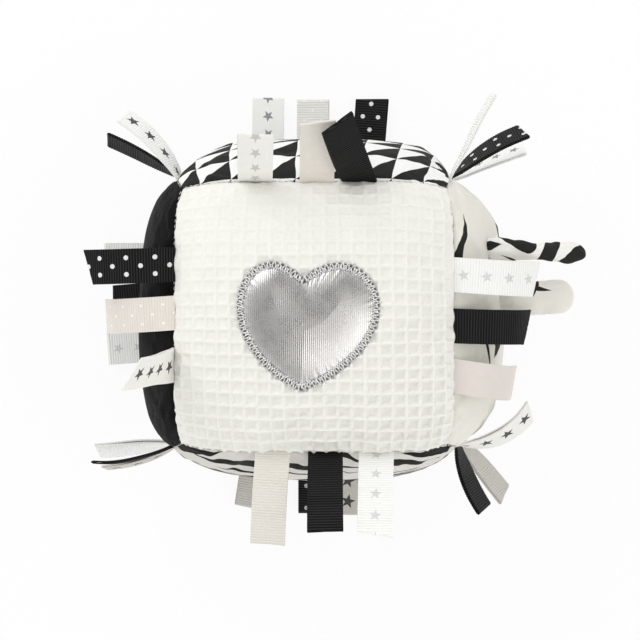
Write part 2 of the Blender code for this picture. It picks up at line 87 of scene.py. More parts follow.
# The ribbons of each seam: place along it, share of the full length, lift, curl, twist, skew and
# slant as in the source, then the finish, and where along it the print starts, in millimetres
RIBBONS = {
    "heart_rear": (
        (-0.44, 1, 75.5, -24, 0, -5, 2, "tape_cream_small_stars", 6.3),
        (0.026, 0.89, 44, 12, 0, -4, -15, "satin_beige_faint_dots", 2),
        (0.347, 1.04, 64, -14, 32, 10, -12, "rib_black_plain", 0),
    ),
    "heart_left": (
        (0.41, 0.95, 22, -58, 0, 2, -19, "rib_black_white_dots", 6.6),
        (0.03, 1.02, 10, -88, 0, 4, 15, "rib_beige_small_dots", 0),
        (-0.38, 1, 76, -8, -28, 3, 18, "tape_cream_dark_stars", 0),
    ),
    "heart_right": (
        (0.33, 0.94, 16, -70, 0, -4, 14, "rib_white_faint_stars", 0),
        (-0.07, 0.96, 8, -80, 0, -2, 32, "rib_black_plain", 0),
        (-0.46, 0.82, 10, -90, 0, -10, 0, "satin_blush_plain", 0),
    ),
    "heart_front": (
        (-0.31, 0.96, 20, -30, 0, -3, 1, "rib_ivory_plain", 0),
        (0.09, 0.94, 47, -24, 0, 2, -1, "rib_black_plain", 0),
        (0.475, 0.94, 41, -18, 0, 0.5, 11, "rib_white_faint_stars", 3),
    ),
    "base_rear": (
        (-0.523, 1.02, -5, 0, 0, 0, 0, "tape_white_grey_stars", 4),
        (-0.15, 1, -4, -2, 0, 0, 0, "rib_cream_small_dots", 0),
        (0.29, 1, -5, 0, 0, -4, -4, "rib_black_white_dots", 8.3),
    ),
    "base_left": (
        (0.45, 1.16, -5, 0, 0, 0, 0, "rib_white_plain", 0),
        (0.15, 1.06, -4, -2, 0, 5, 6, "rib_black_plain", 0),
        (-0.27, 1.12, -3, -3, 0, 4, 0, "rib_white_faint_stars", 0),
    ),
    "base_front": (
        (-0.58, 0.86, -5, 0, 0, -9, 4, "rib_grey_plain", 0),
        (-0.14, 0.9, -5, 0, 0, 0, 0, "rib_black_pale_dots", 2),
        (0.14, 0.92, -5, 0, 0, 0, 0, "tape_grey_dark_stars", 1),
    ),
    "corner_rear_left": (
        (0.42, 0.93, -20, -34, -25, 0, 0, "rib_white_dark_stars", 0),
        (0, 0.96, 13.5, -9, 20, 0, 0, "rib_black_plain", 0),
    ),
    "corner_rear_right": (
        (0.42, 1.02, 18, 2, 10, 0, 0, "rib_white_plain", 0),
        (0, 0.97, -2, 20, 27, 0, 10, "rib_black_white_dots", 0),
        (-0.42, 0.89, -12, 16, 24, 0, 0, "tape_white_grey_stars", 0),
    ),
    "corner_front_left": (
        (0.42, 0.89, -20, 26, 5, 0, 0, "rib_black_plain", 0),
        (0, 0.89, -37, 2, 26, 0, 0, "rib_white_plain", 0),
        (-0.42, 0.98, -9, 32, 8, 0, 0, "tape_grey_dark_stars", 0),
    ),
    "corner_front_right": (
        (0.42, 0.91, 40, -60, -30, 0, 22, "tape_cream_dark_stars", 9.4),
        (0, 0.82, -35, -24, 23, 0, 0, "rib_black_plain", 0),
        (-0.42, 0.82, -6, 0, 28, 0, 12, "rib_grey_plain", 0),
    ),
}

# Tails, as in the source: place on the side panel, length, lift, swing, curl, twist
TAILS = {
    "flat_tail": (0.108, 0.48, 35.5 * MM, 4, 4, -24, 0),
    "twisted_tail": (0.50, 0.70, 46.5 * MM, 2, -3, -18, 290),
}
TAIL_WIDTH, TAIL_THICKNESS, TAIL_ROOT_THICKNESS = 16.0 * MM, 7.0 * MM, 2.4 * MM
TAIL_ROOT_WIDTH_SHARE, TAIL_ROOT_REACH_SHARE = 0.62, 0.2
TAIL_END_SHARE, TAIL_TWIST_SLIM_SHARE = 0.2, 0.64

# Foil heart, as in the source
HEART_WIDTH, HEART_HEIGHT, HEART_CLOTH = 65.8 * MM, 59.2 * MM, 0.8 * MM
HEART_LEFT, HEART_DOWN, HEART_TURN, HEART_NOTCH_SHARE = 4.0 * MM, 4.0 * MM, 1.0, 0.46
HEART_SHARES = (
    ((0.0, 0.78), (0.0, 0.78), (0.15, 0.88)),
    ((0.46, 1.0), (0.27, 1.0), (0.76, 1.0)),
    ((1.0, 0.30), (1.0, 0.70), (1.0, -0.25)),
    ((0.0, -1.0), (0.52, -0.80), (0.0, -1.0)),
)


def form(panel, u, v, inset=0.0, lift=0.0):
    """Points of the stuffed form on one panel, u and v from -1 to 1 between its seams."""
    axis, side, u_axis, v_axis, crown, _ = PANELS[panel]
    half = HALF - inset
    swell = [np.maximum(0.0, 1 - np.abs(w) ** SWELL_POWER) ** SWELL_ROUNDING for w in (u, v)]
    points = np.zeros(np.shape(u) + (3,))
    points[..., u_axis] = u * (half[u_axis] - CORNER_DRAW * np.abs(v) ** CORNER_POWER)
    points[..., v_axis] = v * (half[v_axis] - CORNER_DRAW * np.abs(u) ** CORNER_POWER)
    rise = crown * swell[0] * swell[1] - CORNER_DRAW * np.abs(u * v) ** CORNER_POWER
    points[..., axis] = side * (half[axis] + rise)
    level = np.minimum(1.0, np.abs(points[..., 2]) / half[2])
    near = np.minimum(np.abs(u), np.abs(v)) if axis == 2 else np.abs(u)
    tuck = CORNER_TUCKS[(points[..., 0] > 0).astype(int), (points[..., 1] > 0).astype(int)]
    drawn = BARREL_SHARE - tuck * (near**TUCK_POWER)[..., None]
    points[..., :2] *= 1 + (1 - level**2)[..., None] * drawn
    points[..., axis] += side * lift
    points[..., 2] += CENTRE_HEIGHT
    return points


def sampled(table, x, y):
    """Smooth values of a table at places counted in its rows and columns."""
    rows, columns = table.shape[:2]
    row = np.clip(np.floor(x).astype(int), 0, rows - 2)
    column = np.clip(np.floor(y).astype(int), 0, columns - 2)

    def weights(part):
        return (
            ((-part + 2) * part - 1) * part / 2,
            ((3 * part - 5) * part) * part / 2 + 1,
            ((-3 * part + 4) * part + 1) * part / 2,
            ((part - 1) * part) * part / 2,
        )

    total = 0
    for a, row_weight in enumerate(weights(x - row)):
        for b, column_weight in enumerate(weights(y - column)):
            found = table[np.clip(row + a - 1, 0, rows - 1), np.clip(column + b - 1, 0, columns - 1)]
            weight = row_weight * column_weight
            total = total + found * (weight[..., None] if found.ndim > weight.ndim else weight)
    return total


def uneven(places, step, random):
    """Smooth random values from -1 to 1 along a line, one hump or dip for about each step."""
    table = random.uniform(-1, 1, (int(np.ptp(places) / step) + 6, 1))
    table = np.repeat(table, 2, axis=1)
    return sampled(table, (places - places.min()) / step + 1, np.zeros(places.shape))


def rumpled(x, y, step, random):
    """Smooth random values from -1 to 1 over a surface."""
    table = random.uniform(-1, 1, (int(np.ptp(x) / step) + 6, int(np.ptp(y) / step) + 6))
    return sampled(table, (x - x.min()) / step + 1, (y - y.min()) / step + 1)


def smooth_steps(share):
    return share * share * (3 - 2 * share)


def unit(vectors):
    """The same ways, each of length 1."""
    return vectors / np.maximum(np.linalg.norm(vectors, axis=-1, keepdims=True), 1e-12)


def normals(points):
    """Unit normals of a grid of points, rows crossed with columns."""
    return unit(np.cross(np.gradient(points, axis=0), np.gradient(points, axis=1)))


def run_along(points):
    """How far along its line each point lies."""
    return np.concatenate([[0], np.cumsum(np.linalg.norm(np.diff(points, axis=0), axis=1))])


def points_at(places, run, points):
    """The points of a line at places along it."""
    return np.stack([np.interp(places, run, column) for column in points.T], 1)


def grid_quads(numbers):
    """Quads of a grid whose points have these numbers."""
    corners = (numbers[:-1, :-1], numbers[1:, :-1], numbers[1:, 1:], numbers[:-1, 1:])
    return np.stack(corners, -1).reshape(-1, 4)


def ring_numbers(rings, sides, first=0):
    """Numbers of the points of rings, each closed by its own first point."""
    numbers = np.arange(rings * sides).reshape(rings, sides) + first
    return np.concatenate([numbers, numbers[:, :1]], 1)


def fan(ring, pole):
    """Triangles from the edges of a closed ring to its pole."""
    return [[here, following, pole] for here, following in zip(ring[:-1].tolist(), ring[1:].tolist())]


def border(numbers):
    """The numbers round a grid's border, once round."""
    return np.concatenate([numbers[:-1, 0], numbers[-1, :-1], numbers[:0:-1, -1], numbers[0, :0:-1]])


def linked(name, data):
    """An object of this name and data, in the scene."""
    made = bpy.data.objects.new(name, data)
    bpy.context.scene.collection.objects.link(made)
    return made


def piece_from(name, points, faces, material, uv=None):
    """A named object of this mesh, faces outwards, with its UV map in metres."""
    mesh = bpy.data.meshes.new(name)
    mesh.from_pydata(points.tolist(), [], faces)
    bm = bmesh.new()
    bm.from_mesh(mesh)
    if bm.calc_volume(signed=True) < 0:
        mesh.flip_normals()
    bm.free()
    if uv is not None:
        layer = mesh.uv_layers.new(name="cloth")
        corners = np.empty(len(mesh.loops), int)
        mesh.loops.foreach_get("vertex_index", corners)
        layer.data.foreach_set("uv", uv[corners].astype(np.float32).ravel())
    mesh.shade_smooth()
    mesh.materials.append(material)
    return linked(name, mesh)


def sheet_piece(name, outer, inner, uv, material, step=1):
    """A closed sheet between a fine outer grid and an inner grid with one cell for each step."""
    count = outer.shape[0] * outer.shape[1]
    top = np.arange(count).reshape(outer.shape[:2])
    below = np.arange(inner.shape[0] * inner.shape[1]).reshape(inner.shape[:2]) + count
    ring, ring_below = border(top).tolist(), border(below).tolist()
    faces = grid_quads(top).tolist() + grid_quads(below)[:, ::-1].tolist()
    for cell, start in enumerate(ring_below):
        edge = [ring[(cell * step + part) % len(ring)] for part in range(step + 1)]
        faces += [[here, start, following] for here, following in zip(edge, edge[1:])]
        faces.append([start, ring_below[(cell + 1) % len(ring_below)], edge[-1]])
    points = np.concatenate([outer.reshape(-1, 3), inner.reshape(-1, 3)])
    flat = np.concatenate([uv.reshape(-1, 2), uv[::step, ::step].reshape(-1, 2)])
    made = piece_from(name, points, faces, material, flat)
    made.data.set_sharp_from_angle(angle=SHARP_ANGLE)
    return made


FLOAT, VECTOR = "NodeSocketFloat", "NodeSocketVector"


class Nodes:
    """Adds linked nodes to one tree."""

    def __init__(self, tree):
        self.tree = tree

    def feed(self, socket, value):
        if isinstance(value, bpy.types.NodeSocket):
            self.tree.links.new(value, socket)
        else:
            socket.default_value = value

    def add(self, kind, inputs=None, **settings):
        node = self.tree.nodes.new(kind)
        for key, value in settings.items():
            setattr(node, key, value)
        for key, value in (inputs or {}).items():
            self.feed(node.inputs[key], value)
        return node

    def maths(self, operation, *values, clamp=False):
        inputs = dict(enumerate(values))
        return self.add("ShaderNodeMath", inputs, operation=operation, use_clamp=clamp).outputs[0]

    def times(self, a, b):
        return self.maths("MULTIPLY", a, b)

    def over(self, a, b):
        return self.maths("DIVIDE", a, b)

    def minus(self, a, b):
        return self.maths("SUBTRACT", a, b)

    def times_plus(self, a, b, c):
        return self.maths("MULTIPLY_ADD", a, b, c)

    def distance(self, x, y):
        return self.maths("SQRT", self.maths("ADD", self.times(x, x), self.times(y, y)))

    def moved(self, operation, vector, by):
        return self.add("ShaderNodeVectorMath", {0: vector, 1: by}, operation=operation).outputs[0]

    def split(self, vector):
        return self.add("ShaderNodeSeparateXYZ", {"Vector": vector}).outputs

    def joined(self, x, y, z=0.0):
        return self.add("ShaderNodeCombineXYZ", {"X": x, "Y": y, "Z": z}).outputs[0]

    def noise(self, vector, scale, detail=2.0, roughness=0.5):
        inputs = {"Vector": vector, "Scale": scale, "Detail": detail, "Roughness": roughness}
        return self.add("ShaderNodeTexNoise", inputs).outputs["Fac"]

    def ramp(self, value, low, high, to_low=0.0, to_high=1.0):
        inputs = {"Value": value, "From Min": low, "From Max": high, "To Min": to_low, "To Max": to_high}
        return self.add("ShaderNodeMapRange", inputs, interpolation_type="SMOOTHSTEP").outputs[0]

    def blend(self, share, first, second):
        """A mix node names the sockets of each kind of value alike, so they are picked by place."""
        return self.add("ShaderNodeMix", {0: share, 6: first, 7: second}, data_type="RGBA").outputs[2]

    def placed(self, group, place, **sizes):
        return self.add("ShaderNodeGroup", {"Vector": place, **sizes}, node_tree=group).outputs[0]

    def object_place(self):
        return self.add("ShaderNodeTexCoord").outputs["Object"]

    def cloth_place(self):
        return self.add("ShaderNodeUVMap", uv_map="cloth").outputs[0]


def shader_group(output, **sizes):
    """Makes the function under it a node group of its name, which takes a place and these sizes."""

    def build(pattern):
        tree = bpy.data.node_groups.new(pattern.__name__, "ShaderNodeTree")
        tree.interface.new_socket("Vector", in_out="INPUT", socket_type=VECTOR)
        for label, value in sizes.items():
            kind = VECTOR if isinstance(value, tuple) else FLOAT
            tree.interface.new_socket(label, in_out="INPUT", socket_type=kind).default_value = value
        tree.interface.new_socket(output, in_out="OUTPUT", socket_type=FLOAT)
        n = Nodes(tree)
        taken = tree.nodes.new("NodeGroupInput").outputs
        given = tree.nodes.new("NodeGroupOutput").inputs
        n.feed(given[output], pattern(n, taken["Vector"], *(taken[label] for label in sizes)))
        return tree

    return build


@shader_group("Height", Pitch=0.5 * MM)
def plain_weave(n, place, pitch):
    """Over and under of a plain weave."""
    x, y, _ = n.split(place)
    turn = n.over(2 * math.pi, pitch)
    across, along = n.maths("SINE", n.times(x, turn)), n.maths("SINE", n.times(y, turn))
    return n.times_plus(n.times(across, along), 0.5, 0.5)


@shader_group("Height", Pitch=0.3 * MM)
def side_by_side_threads(n, place, pitch):
    """Threads side by side, along the second coordinate."""
    x, _, _ = n.split(place)
    return n.times_plus(n.maths("COSINE", n.times(x, n.over(2 * math.pi, pitch))), 0.5, 0.5)


STAR_WAIST_SHARE, STAR_TURN = 0.42, math.pi / 5
BLOT_ROUNDING, BLOT_WANDER_SCALE = 3 * MM, 160.0


@shader_group("Mask", Pitch=7.5 * MM, Radius=2.7 * MM, Turn=0.3, Stretch=1.0)
def star_row(n, place, pitch, radius, turn, stretch):
    """Five-pointed stars in a row along the second coordinate."""
    x, y, _ = n.split(place)
    y = n.minus(n.maths("FLOORED_MODULO", y, pitch), n.times(pitch, 0.5))
    y = n.over(y, stretch)
    angle = n.maths("PINGPONG", n.maths("ADD", n.maths("ARCTAN2", y, x), turn), STAR_TURN)
    slope = (1 - STAR_WAIST_SHARE * math.cos(STAR_TURN)) / (STAR_WAIST_SHARE * math.sin(STAR_TURN))
    measure = n.times_plus(n.maths("SINE", angle), slope, n.maths("COSINE", angle))
    share = n.over(n.times(n.distance(x, y), measure), radius)
    return n.ramp(share, 0.96, 1.04, 1.0, 0.0)


@shader_group("Mask", Pitch=12.6 * MM, Aside=3.85 * MM, Radius=1.15 * MM)
def dot_rows(n, place, pitch, aside, radius):
    """Dots in threes: one in the middle, then two beside it, along the second coordinate."""
    x, y, _ = n.split(place)
    reaches = []
    for offset, beside in ((0.0, x), (0.5, n.minus(n.maths("ABSOLUTE", x), aside))):
        cell = n.maths("FLOORED_MODULO", n.times_plus(pitch, offset, y), pitch)
        reaches.append(n.distance(beside, n.minus(cell, n.times(pitch, 0.5))))
    return n.ramp(n.over(n.maths("MINIMUM", *reaches), radius), 0.94, 1.06, 1.0, 0.0)


@shader_group("Mask", Period=12.0 * MM, Warp=10.0 * MM, Black=0.45, Swing=0.7)
def zebra_stripes(n, place, period, warp, black, swing):
    """Wavy stripes that swell and run out in points, across the second coordinate."""
    shift = n.minus(n.noise(place, n.over(0.4, period), 1.0), 0.5)
    _, y, _ = n.split(place)
    stripe = n.maths("PINGPONG", n.over(n.times_plus(shift, warp, y), period), 0.5)
    wide = n.noise(place, n.over(0.55, period), 0.0)
    share = n.times_plus(n.minus(wide, 0.5), swing, black)
    return n.ramp(n.minus(n.times(share, 0.5), stripe), -0.006, 0.006)


@shader_group("Mask", Start=(0.0, 0.0, 0.0), Angle=0.0, Length=20.0 * MM, Width=6.0 * MM)
def wedge_blot(n, place, start, angle, length, width):
    """One leaf-shaped blot: from its rounded start it narrows to a point at its length."""
    turn = {"Vector": n.moved("SUBTRACT", place, start), "Angle": n.times(angle, -1.0)}
    x, y, _ = n.split(n.add("ShaderNodeVectorRotate", turn, rotation_type="Z_AXIS").outputs[0])
    wander = n.minus(n.noise(place, BLOT_WANDER_SCALE, 1.0), 0.5)
    y = n.maths("ABSOLUTE", n.times_plus(wander, n.times(width, 0.2), y))
    swell = n.times(n.minus(1.0, n.over(x, length)), width)
    swell = n.times(swell, n.maths("SQRT", n.maths("DIVIDE", x, BLOT_ROUNDING, clamp=True)))
    inside = n.maths("MINIMUM", x, n.minus(length, x))
    inside = n.maths("MINIMUM", n.minus(n.times(swell, 0.5), y), inside)
    return n.ramp(inside, -0.08 * MM, 0.08 * MM)


@shader_group("Mask", Cell=16.0 * MM)
def triangle_rows(n, place, cell):
    """Half-square triangles in rows: each black below the line that rises to its right side."""
    x, y, _ = n.split(place)
    right, down = n.maths("FRACT", n.over(x, cell)), n.maths("FRACT", n.over(y, cell))
    return n.ramp(n.minus(right, down), -0.008, 0.008)


@shader_group("Tone", Size=1.0 * MM)
def lint_tone(n, place, size):
    """Uneven tone of spun fibre, from 0 to 1, in two sizes of cloud."""
    fine = n.noise(place, n.over(1.0, size), 3.0, 0.6)
    broad = n.noise(place, n.over(0.12, size), 2.0)
    return n.times_plus(fine, 0.6, n.times(broad, 0.4))


def linear(*shades):
    """Linear colour from shades written from 0 to 255."""
    parts = [shade / 255 for shade in shades]
    return (*(p / 12.92 if p < 0.04 else ((p + 0.055) / 1.055) ** 2.4 for p in parts), 1.0)


def shaded(colour, share):
    return (*(c * share for c in colour[:3]), 1.0)


def pattern(group, **sizes):
    return lambda n, place: n.placed(group, place, **sizes)


SHADER_INPUTS = {
    "colour": "Base Color",
    "rough": "Roughness",
    "sheen": "Sheen Weight",
    "sheen_rough": "Sheen Roughness",
    "gloss": "Specular IOR Level",
    "metallic": "Metallic",
}


def new_material(name):
    material = bpy.data.materials.new(name)
    material.use_nodes = True
    return material, Nodes(material.node_tree)


def finish(n, height=None, depth=1 * MM, strength=1.0, **values):
    """Feeds a material's shader: its values, and a relief of this height, depth and strength."""
    shader = n.tree.nodes["Principled BSDF"]
    for key, value in values.items():
        n.feed(shader.inputs[SHADER_INPUTS[key]], value)
    if height is not None:
        bump = n.add("ShaderNodeBump", {"Strength": strength, "Distance": depth, "Height": height})
        n.feed(shader.inputs["Normal"], bump.outputs[0])


def cloth_material(name, ground, relief, ink=None, mask=None, depth=0.05 * MM, rough=0.85, sheen=0.2,
                   gloss=0.25, lint=0.8 * MM, vary=0.05, groove=None):
    """Woven cloth: a ground colour, printed ink where the mask says, and a relief of threads.
    Groove is the share of the colour that is left in the grooves of a ribbed ribbon: painted shade in the
    grooves; on black ribbons the narrow crests keep the full colour as painted highlights."""
    material, n = new_material(name)
    place = n.cloth_place()
    tone = n.placed(lint_tone, place, Size=lint)
    colour = n.blend(n.ramp(tone, 0.25, 0.75), shaded(ground, 1 - vary), shaded(ground, 1 + vary * 0.25))
    # Painted shade: ribbed ribbons are darker in their grooves, ink too; on black only narrow crests stay at
    # full colour, as painted highlights
    if groove:
        _, run, _ = n.split(place)
        groove_shade_mask = n.placed(side_by_side_threads, n.joined(run, 0.0), Pitch=RIB_PITCH)
        groove_shade_mask = n.ramp(groove_shade_mask, *((0.02, 0.5) if groove < 0.5 else (0.35, 0.95)))
        colour = n.blend(groove_shade_mask, colour, shaded(ground, groove))
        if mask:
            ink = n.blend(groove_shade_mask, ink, shaded(ink, max(groove, 0.85)))
    if mask:
        colour = n.blend(mask(n, place), colour, ink)
    finish(n, n.times_plus(tone, 0.6, relief(n, place)), depth, 0.7, colour=colour, sheen=sheen,
           rough=n.ramp(tone, 0.2, 0.8, rough - 0.06, min(1.0, rough + 0.06)), gloss=gloss)
    return material


COLOURS = {
    "white": linear(247, 247, 244),
    "cream": linear(238, 237, 232),
    "ivory": linear(232, 227, 218),
    "blush": linear(222, 214, 207),
    "beige": linear(232, 226, 217),
    "grey": linear(206, 203, 195),
    "black": linear(43, 43, 43),
}
STAR_MASK, DOT_MASK = functools.partial(pattern, star_row), functools.partial(pattern, dot_rows)
# Print: its ink and its pattern
PRINTS = {
    "plain": (None, None),
    "faint_stars": (linear(218, 218, 216), STAR_MASK(Pitch=10.5 * MM, Radius=2.9 * MM, Turn=0.2)),
    "grey_stars": (linear(150, 150, 150), STAR_MASK(Pitch=9.3 * MM, Radius=3.0 * MM, Turn=0.2)),
    "small_stars": (linear(198, 197, 194),
                    STAR_MASK(Pitch=12.6 * MM, Radius=2.8 * MM, Turn=0.3, Stretch=1.6)),
    "dark_stars": (linear(74, 74, 74), STAR_MASK(Pitch=10.6 * MM, Radius=3.8 * MM, Turn=0.1)),
    "white_dots": (linear(240, 240, 239), DOT_MASK(Pitch=13.2 * MM, Radius=1.1 * MM)),
    "pale_dots": (linear(190, 190, 190), DOT_MASK(Pitch=11.4 * MM, Radius=1.1 * MM)),
    "small_dots": (linear(250, 248, 245), DOT_MASK(Pitch=10.0 * MM, Aside=4.3 * MM, Radius=0.65 * MM)),
    "faint_dots": (linear(236, 230, 224), DOT_MASK(Pitch=10.0 * MM, Aside=4.3 * MM, Radius=0.6 * MM)),
}
# Weave: relief, its depth, roughness, sheen, specular level
WEAVES = {
    "rib": (pattern(side_by_side_threads, Pitch=0.33 * MM), 0.03 * MM, 0.62, 0.04, 0.30),
    "tape": (pattern(plain_weave, Pitch=0.55 * MM), 0.03 * MM, 0.80, 0.10, 0.25),
    "satin": (pattern(side_by_side_threads, Pitch=0.22 * MM), 0.012 * MM, 0.42, 0.05, 0.5),
}


@functools.cache
def ribbon_material(name):
    """The look of a ribbon's finish: how it is woven, its colour and its print."""
    weave, colour, print_name = name.split("_", 2)
    ink, mask = PRINTS[print_name]
    relief, depth, rough, sheen, gloss = WEAVES[weave]
    # The groove share paints shade into the grooves of ribbed weaves; black keeps 0.12 there, so its crests
    # stand out as painted highlights
    groove = 0.91 if weave == "rib" else None
    if colour == "black":
        sheen, gloss, groove = 0.0, 0.15, 0.12
    return cloth_material("ribbon_" + name, COLOURS[colour], relief, ink, mask, depth, rough, sheen,
                          gloss, 0.5 * MM, groove=groove)


SIM_CELLS, SIM_FRAMES, FOLD_SMOOTHING = 40, 20, 40
WRINKLE_CAP, SINK_CAP = 2.4 * MM, 0.8 * MM
CLOTH_SETTINGS = {
    "quality": 6,
    "mass": 0.15,
    "tension_stiffness": 12,
    "compression_stiffness": 6,
    "shear_stiffness": 4,
    "bending_stiffness": 0.05,
    "use_pressure": True,
    "uniform_pressure_force": 4,
    "vertex_group_mass": "seams",
    # Cut a little larger than the form
    "shrink_min": -0.05,
}


def sewn_form(cells, inset=0.0):
    """The six squares of the form as one closed mesh: its points, quads and each square's numbers."""
    t = np.sin(np.linspace(-1, 1, cells + 1) * np.pi / 2)
    u, v = np.meshgrid(t, t, indexing="ij")
    squares = np.concatenate([form(name, u, v, inset).reshape(-1, 3) for name in PANELS])
    keys = np.round(squares / (0.02 * MM)).astype(int)
    _, first, number = np.unique(keys, axis=0, return_index=True, return_inverse=True)
    numbers = number.reshape(len(PANELS), cells + 1, cells + 1)
    quads = []
    for (axis, side, *_), square in zip(PANELS.values(), numbers):
        found = grid_quads(square)
        quads.append(found[:, ::-1] if side * (-1 if axis == 1 else 1) < 0 else found)
    return squares[first], np.concatenate(quads), numbers


def smoothed(table, rounds):
    """A grid of offsets with its short waves taken out, held still at its border."""
    table = table.copy()
    for _ in range(rounds):
        beside = table[:-2, 1:-1] + table[2:, 1:-1] + table[1:-1, :-2] + table[1:-1, 2:]
        table[1:-1, 1:-1] = table[1:-1, 1:-1] * 0.5 + 0.125 * beside
    return table


def blown_wrinkles():
    """Blows up the sewn cloth, cut a little large, and keeps the short folds that it makes."""
    points, quads, numbers = sewn_form(SIM_CELLS)
    wrinkles = {name: np.zeros((SIM_CELLS + 1, SIM_CELLS + 1, 3)) for name in PANELS}
    mesh = bpy.data.meshes.new("blown_cloth")
    mesh.from_pydata(points.tolist(), [], quads.tolist())
    blown = linked("blown_cloth", mesh)
    seams = np.unique(np.concatenate([border(square) for square in numbers]))
    blown.vertex_groups.new(name="seams").add(seams.tolist(), 1.0, "REPLACE")
    cloth = blown.modifiers.new("cloth", "CLOTH")
    for key, value in CLOTH_SETTINGS.items():
        setattr(cloth.settings, key, value)
    cloth.settings.effector_weights.gravity = 0
    cloth.collision_settings.use_collision = False
    cloth.point_cache.frame_start = 1
    cloth.point_cache.frame_end = SIM_FRAMES
    for step in range(1, SIM_FRAMES + 1):
        bpy.context.scene.frame_set(step)
    ready = blown.evaluated_get(bpy.context.evaluated_depsgraph_get()).to_mesh()
    moved = np.empty(len(points) * 3)
    ready.vertices.foreach_get("co", moved)
    moved = moved.reshape(-1, 3) - points
    bpy.data.objects.remove(blown)
    bpy.data.meshes.remove(mesh)
    bpy.context.scene.frame_set(1)
    for name, square in zip(PANELS, numbers):
        folds = moved[square] - smoothed(moved[square], FOLD_SMOOTHING)
        size = np.linalg.norm(folds, axis=-1, keepdims=True)
        wrinkles[name] = folds * np.minimum(1.0, WRINKLE_CAP / np.maximum(size, 1e-9))
    return wrinkles


WRINKLES = blown_wrinkles()


def wrinkles_at(name, *places):
    """The short folds of a panel at places on it."""
    cells = [(np.arcsin(np.clip(w, -1, 1)) * 2 / np.pi + 1) / 2 * SIM_CELLS for w in places]
    return sampled(WRINKLES[name], *cells)


def spaced(cells):
    """Places across a panel, closer together towards its seams."""
    t = np.linspace(-1, 1, cells + 1)
    return 0.55 * t + 0.45 * np.sin(t * np.pi / 2)


def cut_lengths(points):
    """How far each row and column of a panel's grid lies from its middle, along the cloth."""
    found = []
    for axis in (0, 1):
        steps = np.linalg.norm(np.diff(points, axis=axis), axis=-1)
        middle = slice(steps.shape[1 - axis] // 4, -steps.shape[1 - axis] // 4)
        steps = steps[:, middle].mean(1) if axis == 0 else steps[middle].mean(0)
        run = np.concatenate([[0], np.cumsum(steps)])
        found.append(run - run[len(run) // 2])
    return found


STITCH_PITCH, STITCH_NIP, STITCH_NIP_RUN = 2.6 * MM, 0.18 * MM, 0.9 * MM
# Tucks at a seam: how far apart they are, how high, and how far they run in
TUCKS = ((4.2 * MM, 0.35 * MM, 5 * MM), (10 * MM, 0.55 * MM, 13 * MM))
SWELL_STEP, SWELL_HEIGHT = 24 * MM, 0.5 * MM
# How far all cloth stays over the table
LOWEST = 0.25 * MM


def seam_puckers(s, t, random):
    """Tucks that run in from the four seams, where the cloth is gathered by its stitches."""
    total = 0
    edge_s, edge_t = np.abs(s).max(), np.abs(t).max()
    for along, reach in ((t, edge_s - s), (t, edge_s + s), (s, edge_t - t), (s, edge_t + t)):
        for step, height, run in TUCKS:
            total = total + height * uneven(along, step, random) * np.exp(-reach / run)
        nip = 0.5 - 0.5 * np.cos(2 * np.pi * along / STITCH_PITCH)
        total = total - STITCH_NIP * nip * np.exp(-reach / STITCH_NIP_RUN)
    return total


def dressed_panel(name, cells, step, material, relief=None, soft=1.0, ruled=False):
    """A cloth panel: its form, the folds of the blown-up cloth, its tucks and its weave.
    A ruled print keeps its columns even between the upright seams. Gives back the panel's grid:
    its places, its smooth points and their normals."""
    axis, side, u_axis = PANELS[name][:3]
    random = np.random.default_rng(len(name) * 31 + 5)
    places = spaced(cells)
    u, v = np.meshgrid(places, places, indexing="ij")
    outer = form(name, u, v, 0.0, PANEL_LIFT)
    depth = form(name, u, v, CLOTH, PANEL_LIFT) - outer
    s, t = np.meshgrid(*cut_lengths(outer), indexing="ij")
    away = normals(outer)
    if away[cells // 2, cells // 2, axis] * side < 0:
        away = -away
    hold = (1 - u**8) * (1 - v**8)
    swell = rumpled(s, t, SWELL_STEP, random) * SWELL_HEIGHT * hold
    folds = wrinkles_at(name, u, v) * soft + away * (seam_puckers(s, t, random) * soft + swell)[..., None]
    # The filling keeps the cloth from sinking far
    rise = (folds * away).sum(-1)
    kept = np.where(rise < 0, -SINK_CAP * np.tanh(-rise / SINK_CAP), rise)
    smooth = outer + folds + away * (kept - rise)[..., None]
    outer = smooth.copy()
    if relief:
        outer += away * relief(outer, s, t, u, v)[..., None]
    inner = (smooth + depth)[::step, ::step]
    outer[..., 2] = np.maximum(outer[..., 2], LOWEST)
    inner[..., 2] = np.maximum(inner[..., 2], LOWEST + CLOTH)
    across = u * HALF[u_axis] if ruled else s
    made = sheet_piece(name + "_cloth", outer, inner, np.stack([across, t], -1), material, step)
    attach(made, "block")
    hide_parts(name)
    return places, smooth, away


def heart_outline(count):
    """Points round the heart, equally spaced, with the inward way at each, and its whole length."""
    wide = HEART_WIDTH * np.array([1 - HEART_NOTCH_SHARE, -HEART_NOTCH_SHARE])
    halves = [[[np.array(p) * (w, HEART_HEIGHT / 2) for p in knot] for knot in HEART_SHARES] for w in wide]
    right, left = halves
    knots = right + [[p, b, a] for p, a, b in reversed(left[1:-1])]
    right[0][1], right[-1][2] = left[0][2], left[-1][1]
    share = np.linspace(0, 1, 60, endpoint=False)[:, None]
    run = []
    for here, following in zip(knots, knots[1:] + knots[:1]):
        a, b, c, d = here[0], here[2], following[1], following[0]
        run.append((1 - share) ** 3 * a + 3 * (1 - share) ** 2 * share * b
                   + 3 * (1 - share) * share**2 * c + share**3 * d)
    run = np.concatenate([*run, run[0][:1]])
    length = run_along(run)
    outline = points_at(np.linspace(0, length[-1], count, endpoint=False), length, run)
    turn = math.radians(-HEART_TURN)
    spin = np.array([[math.cos(turn), -math.sin(turn)], [math.sin(turn), math.cos(turn)]])
    outline = outline @ spin.T - np.array([HEART_LEFT, HEART_DOWN])
    way = unit(np.roll(outline, -1, axis=0) - np.roll(outline, 1, axis=0))
    return outline, np.stack([way[:, 1], -way[:, 0]], 1), length[-1]


